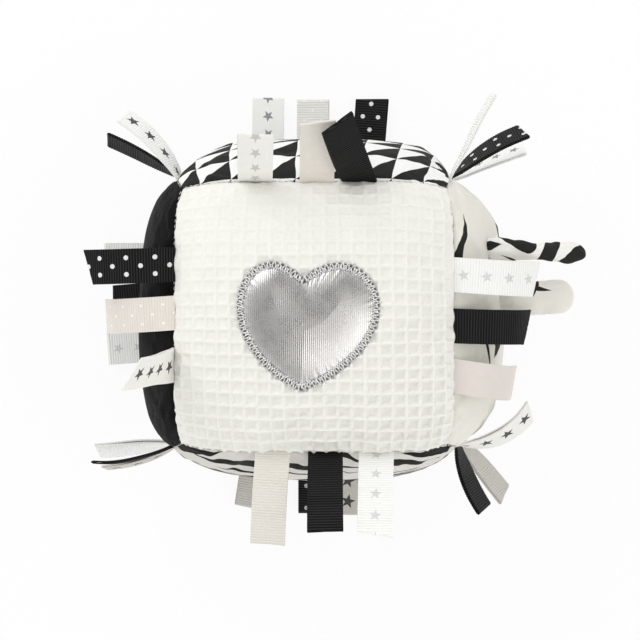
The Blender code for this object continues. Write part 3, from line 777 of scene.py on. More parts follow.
def outline_distance(x, y, outline):
    """Distance from places to the outline, less than 0 inside it."""
    flat = np.stack([np.ravel(x), np.ravel(y)], 1)
    best = np.full(len(flat), 1.0)
    inside = np.zeros(len(flat), bool)
    for a, b in zip(outline, np.roll(outline, -1, axis=0)):
        edge = b - a
        part = np.clip(((flat - a) @ edge) / (edge @ edge), 0, 1)
        best = np.minimum(best, np.linalg.norm(flat - a - part[:, None] * edge, axis=1))
        crosses = (a[1] > flat[:, 1]) != (b[1] > flat[:, 1])
        with np.errstate(divide="ignore", invalid="ignore"):
            at = a[0] + (flat[:, 1] - a[1]) * edge[0] / edge[1]
        inside ^= crosses & (flat[:, 0] < at)
    return np.where(inside, -best, best).reshape(np.shape(x))


WAFFLE_X, WAFFLE_Y = 6.2 * MM, 5.75 * MM
WAFFLE_DEPTH, WAFFLE_RIDGE, WAFFLE_HOLLOW = 1.8 * MM, 0.95 * MM, 0.12 * MM
# How far the rows wander: over the cloth, then from row to row, each with its step
WAFFLE_WANDER, WAFFLE_SLIP = 0.5 * MM, 0.15 * MM
WANDER_STEPS, SLIP_STEPS = (30 * MM, 26 * MM), (9 * MM, 8 * MM)
HEART_REACH_X, HEART_REACH_Y, HEART_PRESS_RUN = 42 * MM, 40 * MM, 0.5 * MM


def waffle_relief(points, s, t, u, v):
    """The raised threads of the waffle weave round its sunken cells, pressed flat under the heart."""
    random = np.random.default_rng(3)
    wander = rumpled(s, t, WANDER_STEPS[0], random) * WAFFLE_WANDER
    s = s + wander + uneven(t, SLIP_STEPS[0], random) * WAFFLE_SLIP
    wander = rumpled(s, t, WANDER_STEPS[1], random) * WAFFLE_WANDER
    t = t + wander + uneven(s, SLIP_STEPS[1], random) * WAFFLE_SLIP
    ridge, hollow = 0, 1
    for place, pitch in ((s, WAFFLE_X), (t, WAFFLE_Y)):
        near = pitch / 2 - np.abs((place / pitch) % 1 - 0.5) * pitch
        ridge = np.maximum(ridge, np.exp(-((near / WAFFLE_RIDGE) ** 3)))
        hollow = hollow * (0.5 - 0.5 * np.cos(2 * np.pi * place / pitch))
    raised = ridge * WAFFLE_DEPTH - hollow * WAFFLE_HOLLOW
    x, y = points[..., 0], points[..., 1]
    close = (np.abs(x) < HEART_REACH_X) & (np.abs(y) < HEART_REACH_Y)
    distance = np.full(x.shape, 1.0)
    distance[close] = outline_distance(x[close], y[close], heart_outline(120)[0])
    pressed = np.clip(distance / HEART_PRESS_RUN + 1, 0, 1)
    # The weave is stretched flatter towards the rear left corner
    stretched = np.clip(0.7 - 0.5 * v + 0.25 * u, 0.22, 1.2)
    edge = np.clip((1 - np.maximum(np.abs(u), np.abs(v))) / 0.05, 0, 1)
    return raised * stretched * (0.15 + 0.85 * pressed) * (0.35 + 0.65 * edge)


def stripes(wedges, top=0.0, **sizes):
    """The zebra print: blots where the photographed side shows them, stripes below the height top."""

    def mask(n, place):
        total = 0.0
        if sizes:
            _, y, _ = n.split(place)
            low = n.ramp(y, top - 0.5 * MM, top + 0.5 * MM, 1.0, 0.0)
            total = n.times(n.placed(zebra_stripes, place, **sizes), low)
        for x, y, angle, length, width in wedges:
            blot = n.placed(wedge_blot, place, Start=(x * MM, y * MM, 0.0), Angle=math.radians(angle),
                            Length=length * MM, Width=width * MM)
            total = n.maths("MAXIMUM", total, blot)
        return total

    return mask


TRIANGLE_CELL, TRIANGLE_SHIFT, TRIANGLE_START = 15.6 * MM, 8.9 * MM, 1.5 * MM


def triangle_mask(n, place):
    """The triangle print, its first row under the upper seam."""
    places = spaced(120)
    grid = form("triangle_panel", *np.meshgrid(places, places, indexing="ij"), 0.0, PANEL_LIFT)
    seam = cut_lengths(grid)[1][-1]
    x, y, _ = n.split(n.moved("ADD", place, (TRIANGLE_SHIFT, TRIANGLE_START - seam, 0.0)))
    return n.placed(triangle_rows, n.joined(x, n.times(y, -1.0)), Cell=TRIANGLE_CELL)


def print_cotton(name, ground, mask, pitch=0.5 * MM, sheen=0.03):
    return cloth_material(name, ground, pattern(plain_weave, Pitch=pitch), linear(40, 40, 39), mask,
                          sheen=sheen, gloss=0.12)


def plush_material():
    """Short black pile that takes a soft shine where it lies away from the eye."""
    material, n = new_material("black_plush")
    place = n.object_place()
    pile = n.noise(place, 1900.0, 2.0, 0.7)
    brushed = n.noise(place, 60.0, 3.0, 0.55)
    tone = n.ramp(n.times_plus(pile, 0.5, n.times(brushed, 0.5)), 0.35, 0.65)
    finish(n, n.times_plus(brushed, 0.8, pile), 0.5 * MM, 0.9,
           colour=n.blend(tone, linear(4, 4, 4), linear(30, 30, 30)),
           rough=n.ramp(brushed, 0.3, 0.7, 0.75, 0.95), sheen=0.06, sheen_rough=0.35, gloss=0.10)
    return material


# Blots: where each starts, its way in degrees, its length, its width at the start
SIDE_BLOTS = (
    (18, 70.5, -20, 36, 9), (24, 44, -9, 11, 1.1), (-6, 50, -163, 30, 3.2), (-8, 32, 145, 14.7, 16),
    (8, 70, 0, 8, 4),
)
FRONT_BLOTS = (
    (-76, 56.5, 15, 32, 13), (-23, 54, 176, 41, 9.6), (-31, 54.5, -2, 63, 8.4), (-25, 42, 166, 29, 3.8),
    (-32, 42.5, 4, 65, 2.9), (-20, 64.5, 8, 15, 6), (8, 67.5, -30, 22, 6), (31, 59, -14, 36, 9),
    (76, 55, 163, 34, 15), (30, 41.5, 10, 24, 3),
)
FLAT_BLOTS = ((18.3, 9, -108, 9, 4.6), (16, 5, -13, 8.8, 3.4))
TWISTED_BLOTS = (
    (-1, 1, 10, 8, 7), (22.5, 1.7, 166, 20.6, 10), (14, -5, 163, 8, 1.6), (24.6, -10.7, 69, 120, 7.4),
    (32.8, -18.4, 43.6, 300, 21),
)

waffle = cloth_material("waffle_cotton", linear(242, 241, 234), pattern(plain_weave, Pitch=0.62 * MM),
                        depth=0.09 * MM, rough=0.92, sheen=0.25, lint=1.4 * MM)
plain = cloth_material("plain_cotton", linear(236, 235, 230), pattern(plain_weave, Pitch=0.5 * MM),
                       rough=0.9, vary=0.06)
side_stripes = stripes(SIDE_BLOTS, 14 * MM, Period=24 * MM, Warp=44 * MM, Black=0.42, Swing=0.9)
side_print = print_cotton("zebra_cotton_side", linear(233, 231, 221), side_stripes)
front_stripes = stripes(FRONT_BLOTS, 38 * MM, Period=10 * MM, Warp=22 * MM, Black=0.55, Swing=0.8)
front_print = print_cotton("zebra_cotton_front", linear(220, 218, 212), front_stripes)
triangle_print = print_cotton("triangle_cotton", linear(243, 243, 241), triangle_mask)
flat_print = print_cotton("tail_cotton_flat", linear(236, 234, 225), stripes(FLAT_BLOTS), 0.45 * MM, 0.05)
twisted_print = print_cotton("tail_cotton_twisted", linear(240, 239, 234), stripes(TWISTED_BLOTS),
                             0.45 * MM, 0.05)

HEART_PANEL_GRID = dressed_panel("heart_panel", 288, 12, waffle, waffle_relief, 0.45)
dressed_panel("base_panel", 96, 4, plain)
dressed_panel("plush_panel", 120, 5, plush_material(), soft=0.6)
dressed_panel("zebra_side_panel", 120, 5, side_print)
dressed_panel("triangle_panel", 120, 5, triangle_print, ruled=True)
dressed_panel("zebra_front_panel", 120, 5, front_print)


def filling_piece():
    """The fibre filling, which the panels hide."""
    material, n = new_material("fibre_filling")
    tone = n.placed(lint_tone, n.object_place(), Size=2 * MM)
    colour = n.blend(tone, linear(225, 225, 222), linear(245, 245, 243))
    finish(n, tone, 1 * MM, colour=colour, rough=1.0)
    points, quads, _ = sewn_form(40, CLOTH + SEAT_GAP)
    points[:, 2] = np.maximum(points[:, 2], CLOTH + SEAT_GAP)
    made = piece_from("fibre_filling", points, quads.tolist(), material)
    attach(made, "block")
    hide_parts("stuffing")


filling_piece()


def stitch_tree(material):
    """Puts a stitch, thick in the middle and bowed up, on each point of a mesh, along its way."""
    tree = bpy.data.node_groups.new("stitches", "GeometryNodeTree")
    for label, side, kind in (
        ("Geometry", "INPUT", "NodeSocketGeometry"),
        ("Thread thickness", "INPUT", FLOAT),
        ("Bulge", "INPUT", FLOAT),
        ("Geometry", "OUTPUT", "NodeSocketGeometry"),
    ):
        tree.interface.new_socket(label, in_out=side, socket_type=kind)
    n = Nodes(tree)
    taken = tree.nodes.new("NodeGroupInput").outputs
    line = n.add("GeometryNodeCurvePrimitiveLine", {"Start": (-0.5, 0.0, 0.0), "End": (0.5, 0.0, 0.0)})
    line = n.add("GeometryNodeResampleCurve", {"Curve": line.outputs[0], "Count": 7})
    along = n.add("GeometryNodeSplineParameter").outputs["Factor"]
    arch = n.maths("SINE", n.times(along, math.pi))
    lift = n.joined(0.0, 0.0, n.times(arch, taken["Bulge"]))
    bowed = n.add("GeometryNodeSetPosition", {"Geometry": line.outputs[0], "Offset": lift})
    slim = n.times_plus(n.maths("POWER", arch, 0.5), 0.62, 0.38)
    ring = n.add("GeometryNodeCurvePrimitiveCircle", {"Resolution": 6, "Radius": 1.0})
    solid = n.add("GeometryNodeCurveToMesh", {
        "Curve": bowed.outputs[0], "Profile Curve": ring.outputs[0], "Fill Caps": True,
        "Scale": n.times(slim, n.times(taken["Thread thickness"], 0.5))})
    way, up = (
        n.add("GeometryNodeInputNamedAttribute", {"Name": label}, data_type="FLOAT_VECTOR").outputs[0]
        for label in ("way", "up")
    )
    turned = n.add("FunctionNodeAxesToRotation", {0: way, 1: up}, primary_axis="X", secondary_axis="Z")
    size = n.add("ShaderNodeVectorMath", {0: way}, operation="LENGTH").outputs["Value"]
    points = n.add("GeometryNodeMeshToPoints", {"Mesh": taken["Geometry"]})
    spread = n.add("GeometryNodeInstanceOnPoints", {
        "Points": points.outputs[0], "Instance": solid.outputs[0], "Rotation": turned.outputs[0],
        "Scale": n.joined(size, 1.0, 1.0)})
    real = n.add("GeometryNodeRealizeInstances", {"Geometry": spread.outputs[0]})
    smooth = n.add("GeometryNodeSetShadeSmooth", {"Geometry": real.outputs[0]})
    done = n.add("GeometryNodeSetMaterial", {"Geometry": smooth.outputs[0], "Material": material})
    n.feed(tree.nodes.new("NodeGroupOutput").inputs[0], done.outputs[0])
    return tree


def stitches_piece(name, tree, places, ways, ups, thickness, bulge):
    """A row of stitches as one mesh: each lies at its place, along its way, bowed up."""
    mesh = bpy.data.meshes.new(name)
    mesh.from_pydata(places.tolist(), [], [])
    for label, values in (("way", ways), ("up", ups)):
        layer = mesh.attributes.new(label, "FLOAT_VECTOR", "POINT")
        layer.data.foreach_set("vector", values.astype(np.float32).ravel())
    made = linked(name, mesh)
    rows = made.modifiers.new("stitches", "NODES")
    rows.node_group = tree
    sizes = {"Thread thickness": thickness, "Bulge": bulge}
    for item in tree.interface.items_tree:
        if item.name in sizes:
            rows[item.identifier] = sizes[item.name]
    ready = made.evaluated_get(bpy.context.evaluated_depsgraph_get())
    made.data = bpy.data.meshes.new_from_object(ready)
    made.modifiers.remove(rows)
    bpy.data.meshes.remove(mesh)
    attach(made, "block")
    return made


def thread_material(name, colour, rough, metallic=0.0):
    material, n = new_material(name)
    twist = n.noise(n.object_place(), 1500.0, 2.0, 0.6)
    tone = n.ramp(twist, 0.35, 0.65)
    finish(n, twist, 0.08 * MM, colour=n.blend(tone, shaded(colour, 0.5), shaded(colour, 1.05)),
           rough=n.ramp(twist, 0.3, 0.7, rough - 0.1, rough + 0.1), metallic=metallic)
    return material


silver_stitches = stitch_tree(thread_material("silver_thread", linear(246, 245, 243), 0.35, 0.1))
white_stitches = stitch_tree(thread_material("white_thread", linear(226, 226, 222), 0.6))

# The band of stitches round the foil, and how high the foil stands over the panel
BAND, FOIL_LIFT, FOIL_INSET = 3.6 * MM, 0.35 * MM, 0.45 * MM
FOIL_PUFF, FOIL_PUFF_RUN = 2.3 * MM, 9.0 * MM
# Gathers of the foil: waves round the heart and the share of each, their height, how far they run in
FOIL_GATHERS = ((31, 0.4), (53, 0.5), (77, 0.4))
GATHER_HEIGHT, GATHER_START, GATHER_RUN = 0.10 * MM, 1.5 * MM, 1.6 * MM
FOIL_AROUND, FOIL_RINGS, FOIL_LOW_RINGS = 480, 72, 6
CREASE_STEP, CREASE_HEIGHT, CREASE_START = 14 * MM, 0.22 * MM, 8 * MM


def panel_top(x, y):
    """The smooth top of the heart panel and its normal over places on it."""
    across, smooth, away = HEART_PANEL_GRID
    u, v = x / HALF[0], y / HALF[1]
    for _ in range(5):
        point = form("heart_panel", u, v, 0.0, PANEL_LIFT)
        u = u + (x - point[..., 0]) / HALF[0]
        v = v + (y - point[..., 1]) / HALF[1]
    rows, columns = (np.interp(w, across, np.arange(len(across))) for w in (u, v))
    return sampled(smooth[..., 2], rows, columns), sampled(away, rows, columns)


def foil_lift(inside, turn):
    """How high the foil stands over the panel, by its distance in from the edge and its place round."""
    random = np.random.default_rng(11)
    tucks = np.zeros(turn.shape)
    for waves, size in FOIL_GATHERS:
        tucks += size * np.sin(turn * waves + random.uniform(0, 6.3)
                               + 1.5 * np.sin(turn * 3 + random.uniform(0, 6.3)))
    past = np.maximum(inside - BAND, 0)
    puff = FOIL_PUFF * (1 - np.exp(-past / FOIL_PUFF_RUN))
    held = np.exp(-past / GATHER_RUN) * np.clip(inside / GATHER_START, 0, 1)
    pressed = np.clip(inside / (0.9 * MM), 0, 1)
    return SEAT_GAP + FOIL_LIFT + HEART_CLOTH * (0.35 + 0.65 * pressed) + puff + GATHER_HEIGHT * tucks * held


def foil_material():
    """Silver foil on a fine rib knit: a bright sheet broken up by the loops under it."""
    material, n = new_material("silver_foil")
    place = n.cloth_place()
    ribs = n.placed(side_by_side_threads, place, Pitch=0.92 * MM)
    grain = n.noise(place, 2200.0, 2.0, 0.7)
    worn = n.noise(place, 140.0, 4.0, 0.65)
    tone = n.ramp(n.times_plus(grain, 0.7, n.times(ribs, 0.3)), 0.3, 0.7)
    # Painted shade: within the band of stitches the foil colour turns dark grey, for the shade between the
    # stitches
    band_shade_depth = n.add("ShaderNodeAttribute", attribute_name="inside").outputs["Fac"]
    colour = n.blend(n.ramp(band_shade_depth, BAND * 0.85, BAND * 1.05), linear(108, 107, 106),
                     n.blend(tone, linear(186, 184, 181), linear(231, 229, 226)))
    finish(n, n.times_plus(worn, 0.5, n.times_plus(grain, 1.1, ribs)), 0.06 * MM, 0.5, colour=colour,
           rough=n.ramp(worn, 0.3, 0.7, 0.24, 0.32), metallic=1.0)
    return material


def foil_piece(outline, inward):
    """The foil heart, a puffed sheet, and the area that it is cut to."""
    edge = outline + inward * FOIL_INSET
    middle = np.array([-HEART_LEFT, -HEART_DOWN + 1 * MM])

    def rings(share):
        flat = middle + share[:, None, None] * (edge - middle)
        return flat, panel_top(flat[..., 0], flat[..., 1])[0][..., None]

    flat, height = rings(1 - np.linspace(0, 1, FOIL_RINGS, endpoint=False) ** 1.25)
    x, y = flat[..., 0], flat[..., 1]
    inside = -outline_distance(x, y, outline[::3])
    turn = np.broadcast_to(np.arange(FOIL_AROUND) / FOIL_AROUND * 2 * np.pi, x.shape)
    crease = rumpled(x, y, CREASE_STEP, np.random.default_rng(5)) * CREASE_HEIGHT
    lift = foil_lift(inside, turn) + crease * np.clip(inside / CREASE_START, 0, 1)
    top = np.concatenate([flat, height + lift[..., None]], -1).reshape(-1, 3)
    low_flat, low_height = rings(1 - np.linspace(0, 1, FOIL_LOW_RINGS, endpoint=False))
    low = np.concatenate([low_flat, low_height + SEAT_GAP], -1).reshape(-1, 3)
    middle_height = panel_top(middle[:1], middle[1:])[0][0]
    middle_lift = foil_lift(np.array([25 * MM]), np.zeros(1))[0]
    points = np.concatenate([top, [[*middle, middle_height + middle_lift]],
                             low, [[*middle, middle_height + SEAT_GAP]]])
    numbers = ring_numbers(FOIL_RINGS, FOIL_AROUND)
    below = ring_numbers(FOIL_LOW_RINGS, FOIL_AROUND, len(top) + 1)
    rim = grid_quads(np.stack([below[0], numbers[0]]))
    faces = np.concatenate([grid_quads(numbers), grid_quads(below)[:, ::-1], rim]).tolist()
    faces += fan(numbers[-1, ::-1], len(top)) + fan(below[-1], len(points) - 1)
    made = piece_from("foil_heart_cloth", points, faces, foil_material(), points[:, :2].copy())
    made.data.set_sharp_from_angle(angle=SHARP_ANGLE)
    # How far in from the edge each point lies, which sets where the painted shade under the stitch band
    # falls
    band_shade_depth = np.concatenate([inside.ravel(), [1.0], np.zeros(len(low) + 1)])
    layer = made.data.attributes.new("inside", "FLOAT", "POINT")
    layer.data.foreach_set("value", band_shade_depth.astype(np.float32))
    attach(made, "block")
    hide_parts("foil_heart")
    after = np.roll(edge, -1, axis=0)
    return made, float(np.abs((edge[:, 0] * after[:, 1] - edge[:, 1] * after[:, 0]).sum()) / 2)


ZIGZAG_PITCH, ZIGZAG_SLIP_SHARE, ZIGZAG_UNEVEN = 2.6 * MM, 0.16, 0.4 * MM
ZIGZAG_LOW, ZIGZAG_HIGH = 0.35 * MM, 1.2 * MM


def zigzag(outline, inward, total, phase, start):
    """Legs of a zigzag round the heart, from start to the band's inner side and back."""
    count = int(round(total / ZIGZAG_PITCH))
    random = np.random.default_rng(int(phase * 100) + 1)
    slip = random.uniform(-ZIGZAG_SLIP_SHARE, ZIGZAG_SLIP_SHARE, 2 * count)
    teeth = ((np.arange(2 * count) + slip) / (2 * count) + phase / count) % 1.0
    # Teeth are spread along the band's middle, so that they stay close where it turns at the notch
    middle = outline + inward * BAND / 2
    run = run_along(np.concatenate([middle, middle[:1]]))
    place = np.interp(teeth * run[-1], run, np.arange(len(run)))
    low = np.floor(place).astype(int) % len(outline)
    past, following = (place % 1)[:, None], (low + 1) % len(outline)
    way = unit(inward[low] * (1 - past) + inward[following] * past)
    depth = np.where(np.arange(2 * count) % 2 == 0, start, BAND)
    depth = depth + random.uniform(-ZIGZAG_UNEVEN, ZIGZAG_UNEVEN, len(depth))
    flat = outline[low] * (1 - past) + outline[following] * past + way * depth[:, None]
    height = panel_top(flat[:, 0], flat[:, 1])[0] + FOIL_LIFT
    height = height + np.where(depth < BAND / 2, ZIGZAG_LOW, ZIGZAG_HIGH)
    legs = np.concatenate([flat, height[:, None]], 1)
    ends = np.roll(legs, -1, axis=0)
    halfway = (flat + np.roll(flat, -1, axis=0)) / 2
    return (legs + ends) / 2, ends - legs, panel_top(halfway[:, 0], halfway[:, 1])[1]


outline, inward, round_length = heart_outline(FOIL_AROUND)
heart, heart_cut = foil_piece(outline, inward)
# Rows of stitches: the second is half a tooth on, starts further in and bows higher
ZIGZAG_ROWS = ((1, 0.0, -0.7 * MM), (2, 0.5, 0.9 * MM))
for number, phase, start in ZIGZAG_ROWS:
    places, ways, ups = zigzag(outline, inward, round_length, phase, start)
    row = stitches_piece(f"heart_zigzag_{number}", silver_stitches, places, ways * 1.04, ups,
                         0.62 * MM, (0.42 + 0.12 * number) * MM)

SEAM_STITCH, SEAM_STITCH_LIFT, SEAM_STITCH_SLANT = 1.7 * MM, 0.25 * MM, 0.3


def seam_stitches():
    """Stitches along the twelve seams, a little slanted, down in the groove between the panels."""
    places, ways, ups = [], [], []
    for panel, u, v in SEAMS.values():
        line = np.linspace(-0.985, 0.985, 400)
        fixed = np.full(line.shape, float(u if u is not None else v))
        points = form(panel, *((line, fixed) if u is None else (fixed, line)))
        length = run_along(points)
        found = points_at(np.arange(STITCH_PITCH / 2, length[-1], STITCH_PITCH), length, points)
        along = unit(np.gradient(found, axis=0))
        away = found - np.array([0, 0, CENTRE_HEIGHT])
        away = unit(away - (away * along).sum(1, keepdims=True) * along)
        places.append(found + away * SEAM_STITCH_LIFT)
        ways.append((along + np.cross(along, away) * SEAM_STITCH_SLANT) * SEAM_STITCH)
        ups.append(away)
    return np.concatenate(places), np.concatenate(ways), np.concatenate(ups)


stitches_piece("seam_stitches", white_stitches, *seam_stitches(), 0.34 * MM, 0.2 * MM)


def ribbon_matrix(seam, place, lift):
    """A ribbon's own frame: X out along it, Y along its seam, Z up through its thickness."""
    panel, u, v = SEAMS[seam]
    point = Vector(form(panel, np.float64(place if u is None else u), np.float64(place if v is None else v)))
    x, y, z = (math.copysign(1, c) for c in (point.x, point.y, point.z - CENTRE_HEIGHT))
    upwards, turn = Vector((0, 0, 1)), math.radians(lift)
    if seam.startswith("corner"):
        out, along = Vector((x, y, 0)), upwards
        forward = Matrix.Rotation(turn, 3, "Z") @ out.normalized()
    else:
        beside = seam.endswith(("left", "right"))
        level, along = Vector((x, 0, 0) if beside else (0, y, 0)), Vector((0, 1, 0) if beside else (1, 0, 0))
        out = level + upwards * z
        forward = level * math.cos(turn) + upwards * math.sin(turn)
        if along.cross(upwards).dot(forward) < 0:
            along = -along
    stand_off = (LOOP_GAP + 2 * RIBBON_CLOTH) / 2 + SEAT_GAP - ROOT_SINK
    up = forward.cross(along).normalized()
    return Matrix.Translation(point + out * stand_off) @ Matrix((forward, along, up)).transposed().to_4x4()


def bent(along, across, above, length, curl):
    """Flat points after the strip is bent evenly by curl radians over its length."""
    if abs(curl) < math.radians(0.5):
        return np.stack([along, across, above], -1)
    radius = length / curl
    angle = along / radius
    return np.stack([(radius - above) * np.sin(angle), across,
                     radius - (radius - above) * np.cos(angle)], -1)


def rolled(across, above, roll):
    """A strip's points turned about its middle line."""
    return across * np.cos(roll) - above * np.sin(roll), across * np.sin(roll) + above * np.cos(roll)


def moved_by(matrix, points):
    matrix = np.array(matrix)
    return points @ matrix[:3, :3].T + matrix[:3, 3]


FOLD_CUTS, WAVE_STEP, WAVE_HEIGHT, WAVE_START = 7, 15 * MM, 0.4 * MM, 8 * MM
LAYER_PART, CUP_HEIGHT, LAYER_SLIP, EDGE_RISE = 0.9, 0.15 * MM, 0.35 * MM, 0.04 * MM


def ribbon_piece(name, seam, place, share, lift, curl, twist, skew, slant, look, start):
    """A ribbon loop: a woven strip folded in half, its ends tucked into the seam."""
    random = np.random.default_rng(sum(name.encode()))
    length = LOOP_LENGTH * share
    ribbed = look.startswith("rib")
    cells = int(length / (RIB_PITCH / RIB_CUTS if ribbed else 1.0 * MM))
    out = np.linspace(0, 1, cells + 1)
    turn = np.linspace(0, np.pi, FOLD_CUTS + 2)[1:-1]
    rest = np.zeros(cells + 1)
    shares = np.concatenate([out, np.ones(len(turn)), out[::-1]])[:, None]
    beyond = np.concatenate([rest, np.sin(turn), rest])[:, None]
    side = np.concatenate([rest + 1, np.cos(turn), rest - 1])[:, None]
    # A slanted fold takes more columns
    inner = np.linspace(-0.86, 0.86, 19 if abs(slant) > 3 else 5)
    columns = np.concatenate([[-1, -0.95], inner, [0.95, 1]]) * RIBBON_WIDTH / 2
    across = np.broadcast_to(columns, (len(shares), len(columns)))
    model_layer = (LOOP_GAP + RIBBON_CLOTH) / 2
    full = length - model_layer
    reach = full + across * math.tan(math.radians(slant))
    # The rows run straight across the ribbon, and lean only where the slanted fold is near
    square = reach.min() - 1 * MM
    straight = -ROOT_TUCK + (full + ROOT_TUCK) * shares
    lean = square + (straight - square) * (reach - square) / (full - square)
    straight = np.where(straight <= square, straight, lean)
    along = straight + model_layer * beyond
    parted = 1 + LAYER_PART * np.clip(random.uniform(-0.6, 1), 0, 1) * np.sin(np.pi * shares) ** 2
    cloth_run = start * MM - (full - straight) * side
    waves = np.linspace(0, length, 60)
    wave = np.interp(along, waves, uneven(waves, WAVE_STEP, random) * WAVE_HEIGHT)
    wave = wave * np.clip(along / WAVE_START, 0, 1)
    cup = CUP_HEIGHT * (across / (RIBBON_WIDTH / 2)) ** 2 * random.uniform(-1, 1)
    above = (WOVEN_GAP + WOVEN_CLOTH) / 2 * side * parted + wave + cup
    slip = random.uniform(-LAYER_SLIP, LAYER_SLIP) * np.clip(along / length, 0, 1)
    roll = math.radians(twist) * (1 - (1 - along / length) ** ROLL_POWER)
    points = bent(along, *rolled(across + slip * side, above, roll), length, math.radians(curl))
    aside, grip = math.radians(skew), np.minimum(1.0, along / (SKEW_GRIP_SHARE * length))
    x, y = points[..., 0].copy(), points[..., 1].copy()
    points[..., 0] = x * math.cos(aside) - y * math.sin(aside) * grip
    points[..., 1] = y * math.cos(aside) + x * math.sin(aside)
    points = moved_by(ribbon_matrix(seam, place, lift), points)
    away = normals(points)
    here = cells // 2
    if ((points[here] - points[-1 - here]) * away[here]).sum() < 0:
        away = -away
    relief = EDGE_RISE * (np.abs(columns) > 0.9 * RIBBON_WIDTH / 2)
    if ribbed:
        crest = 2 * ((cloth_run / RIB_PITCH) % 1) - 1
        relief = relief + RIB_DEPTH * (np.sqrt(np.maximum(0, 1 - crest**2)) - 0.6)
    relief = np.broadcast_to(relief, across.shape)[..., None]
    upper, lower = points + away * (WOVEN_CLOTH / 2 + relief), points - away * WOVEN_CLOTH / 2
    uv = np.stack([across, np.broadcast_to(cloth_run, across.shape)], -1)
    made = sheet_piece(name + "_cloth", upper, lower, uv, ribbon_material(look))
    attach(made, name)
    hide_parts(name)


for seam, ribbons in RIBBONS.items():
    for number, ribbon in enumerate(ribbons, 1):
        ribbon_piece(f"ribbon_{seam}_{number}", seam, *ribbon)

TAIL_RINGS, TAIL_SIDES, BUMP_STEP = 150, 72, 4 * MM
TAIL_GATHER_SHARE, TAIL_GATHER_RUN_SHARE, TAIL_GATHERS = 0.25, 0.12, 7
TAIL_NIP_SHARE, TAIL_NIP_PITCH = 0.05, 2.5 * MM


def tail_piece(name, material, crease):
    """A padded tail: a flat tube of print cloth with a seam on each side, pinched at its root."""
    across_share, up_share, length, lift, swing, curl, twist = TAILS[name]
    random = np.random.default_rng(len(name))
    slim = TAIL_TWIST_SLIM_SHARE if twist else 1.0
    reach = 1 - (1 - np.linspace(0, 1, TAIL_RINGS)[:, None]) ** 1.5
    root = smooth_steps(np.minimum(1.0, reach / TAIL_ROOT_REACH_SHARE))
    past = np.maximum(0.0, reach - 1 + TAIL_END_SHARE) / TAIL_END_SHARE
    end = np.sqrt(np.maximum(0.0, 1 - past**2))
    width = TAIL_WIDTH / 2 * (TAIL_ROOT_WIDTH_SHARE + (slim - TAIL_ROOT_WIDTH_SHARE) * root) * end
    low, high = TAIL_ROOT_THICKNESS / 2, TAIL_THICKNESS / 2
    thickness = (low + (high - low) * root) * np.sqrt(end)
    angle = np.linspace(0, 2 * np.pi, TAIL_SIDES, endpoint=False)[None, :]
    bumps = rumpled(reach * length + 0 * angle, np.sin(angle) * 6 * MM + 0 * reach, BUMP_STEP, random)
    gather = np.exp(-reach / TAIL_GATHER_RUN_SHARE) * np.cos(angle * TAIL_GATHERS) * TAIL_GATHER_SHARE
    pucker = 1 + crease * bumps * np.minimum(1, end * 2) / (TAIL_THICKNESS / 2)
    flank = np.exp(-((np.sin(angle) / 0.10) ** 2))
    nip = 1 - TAIL_NIP_SHARE * flank * (1 + 0.5 * np.cos(2 * np.pi * reach * length / TAIL_NIP_PITCH))
    roll = math.radians(twist) * np.maximum(0.0, reach - TAIL_ROOT_REACH_SHARE)
    side, above = rolled(width * np.cos(angle) * pucker * nip,
                         thickness * np.sin(angle) * (pucker + gather), roll)
    points = bent(length * reach + 0 * angle, side, above, length, math.radians(curl))
    start = form("zebra_side_panel", np.float64(across_share), np.float64(up_share), 0.0, PANEL_LIFT)
    start[0] += SEAT_GAP
    turn = Matrix.Rotation(math.radians(swing), 4, "Z") @ Matrix.Rotation(math.radians(-lift), 4, "Y")
    points = moved_by(Matrix.Translation(Vector(start)) @ turn, points)
    foot, tip = points[:1].mean(1), points[-1:].mean(1)
    numbers = ring_numbers(TAIL_RINGS - 1, TAIL_SIDES)
    count = (TAIL_RINGS - 1) * TAIL_SIDES
    faces = grid_quads(numbers).tolist() + fan(numbers[0], count) + fan(numbers[-1, ::-1], count + 1)
    uv = np.stack(np.broadcast_arrays(length * reach, side), -1)
    flat = np.concatenate([uv[:-1].reshape(-1, 2), uv[0, :1], uv[-1, :1]])
    points = np.concatenate([points[:-1].reshape(-1, 3), foot, tip])
    made = piece_from(name + "_pad", points, faces, material, flat)
    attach(made, name)
    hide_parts(name)


tail_piece("flat_tail", flat_print, 0.25 * MM)
tail_piece("twisted_tail", twisted_print, 0.55 * MM)


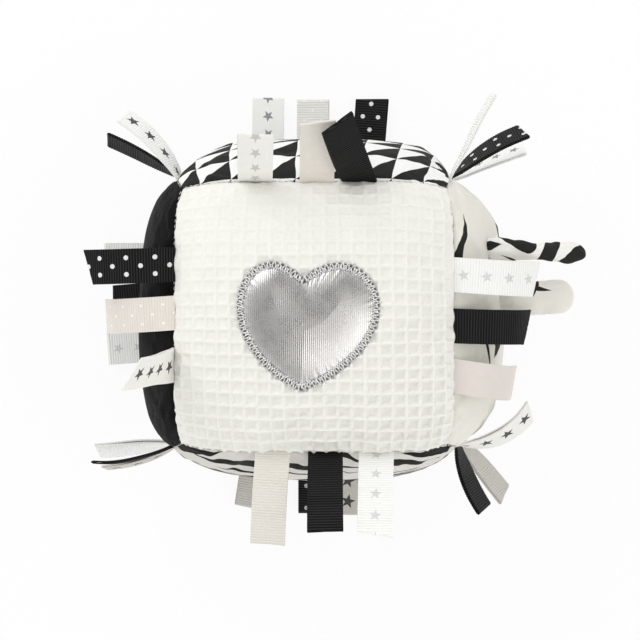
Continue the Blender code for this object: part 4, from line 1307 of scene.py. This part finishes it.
def stage_floor():
    """A plain pale floor, lightened for the camera so that it reads as white paper."""
    material, n = new_material("pale_paper")
    tone = n.noise(n.object_place(), 8.0, 2.0)
    finish(n, colour=n.blend(tone, linear(250, 250, 250), linear(252, 252, 252)), rough=0.9, gloss=0.1)
    glow = n.add("ShaderNodeEmission", {"Color": (1, 1, 1, 1), "Strength": 1.0})
    path = n.add("ShaderNodeLightPath").outputs
    seen = n.maths("MAXIMUM", path["Is Glossy Ray"], path["Is Transmission Ray"])
    seen = n.maths("MAXIMUM", path["Is Camera Ray"], seen)
    shader, given = (n.tree.nodes[label] for label in ("Principled BSDF", "Material Output"))
    both = n.add("ShaderNodeMixShader", {0: n.times(seen, 0.9), 1: shader.outputs[0], 2: glow.outputs[0]})
    n.feed(given.inputs["Surface"], both.outputs[0])
    bm = bmesh.new()
    bmesh.ops.create_circle(bm, cap_ends=True, segments=96, radius=3.0)
    mesh = bpy.data.meshes.new("floor")
    bm.to_mesh(mesh)
    bm.free()
    mesh.materials.append(material)
    floor = linked("floor", mesh)


def area_lamp(name, azimuth, elevation, distance, size, power):
    """A soft box that looks at the block. Azimuth 0 is +X and 90 is +Y."""
    lamp = bpy.data.lights.new(name, "AREA")
    lamp.shape = "SQUARE"
    lamp.size = size
    lamp.energy = power
    made = linked(name, lamp)
    a, e = math.radians(azimuth), math.radians(elevation)
    way = Vector((math.cos(e) * math.cos(a), math.cos(e) * math.sin(a), math.sin(e)))
    made.location = Vector((0, 0, 0.07)) + distance * way
    made.rotation_euler = (-way).to_track_quat("-Z", "Y").to_euler()


def soft_world():
    """A pale studio all round, a little darker overhead where the camera stands."""
    world = bpy.data.worlds.new("studio")
    bpy.context.scene.world = world
    world.use_nodes = True
    n = Nodes(world.node_tree)
    up = n.split(n.add("ShaderNodeTexCoord").outputs["Generated"])[2]
    level = n.ramp(up, 0.45, 0.95, 1.12, 0.34)
    tone = n.add("ShaderNodeCombineColor", {"Red": level, "Green": level, "Blue": level}).outputs[0]
    n.feed(world.node_tree.nodes["Background"].inputs["Color"], tone)


def look_at_block():
    camera = bpy.data.cameras.new("camera")
    camera.sensor_width = 36.0
    camera.lens = 154.4
    camera.clip_end = 10.0
    made = linked("camera", camera)
    made.location = (0.090, 0.0305, 1.392)
    way = Vector((0.0028, -0.0015, 0.129)) - made.location
    turn = way.to_track_quat("-Z", "Y").to_euler().to_matrix()
    right = turn @ Vector((1, 0, 0))
    turn = turn @ Matrix.Rotation(-math.atan2(right.y, right.x), 3, "Z")
    made.rotation_euler = turn.to_euler()
    bpy.context.scene.camera = made


stage_floor()
soft_world()
area_lamp("key_softbox", 130, 42, 1.2, 0.8, 3.9)
area_lamp("low_right_softbox", -38, 66, 1.1, 0.8, 2.6)
look_at_block()
bpy.context.scene.view_settings.view_transform = "Standard"
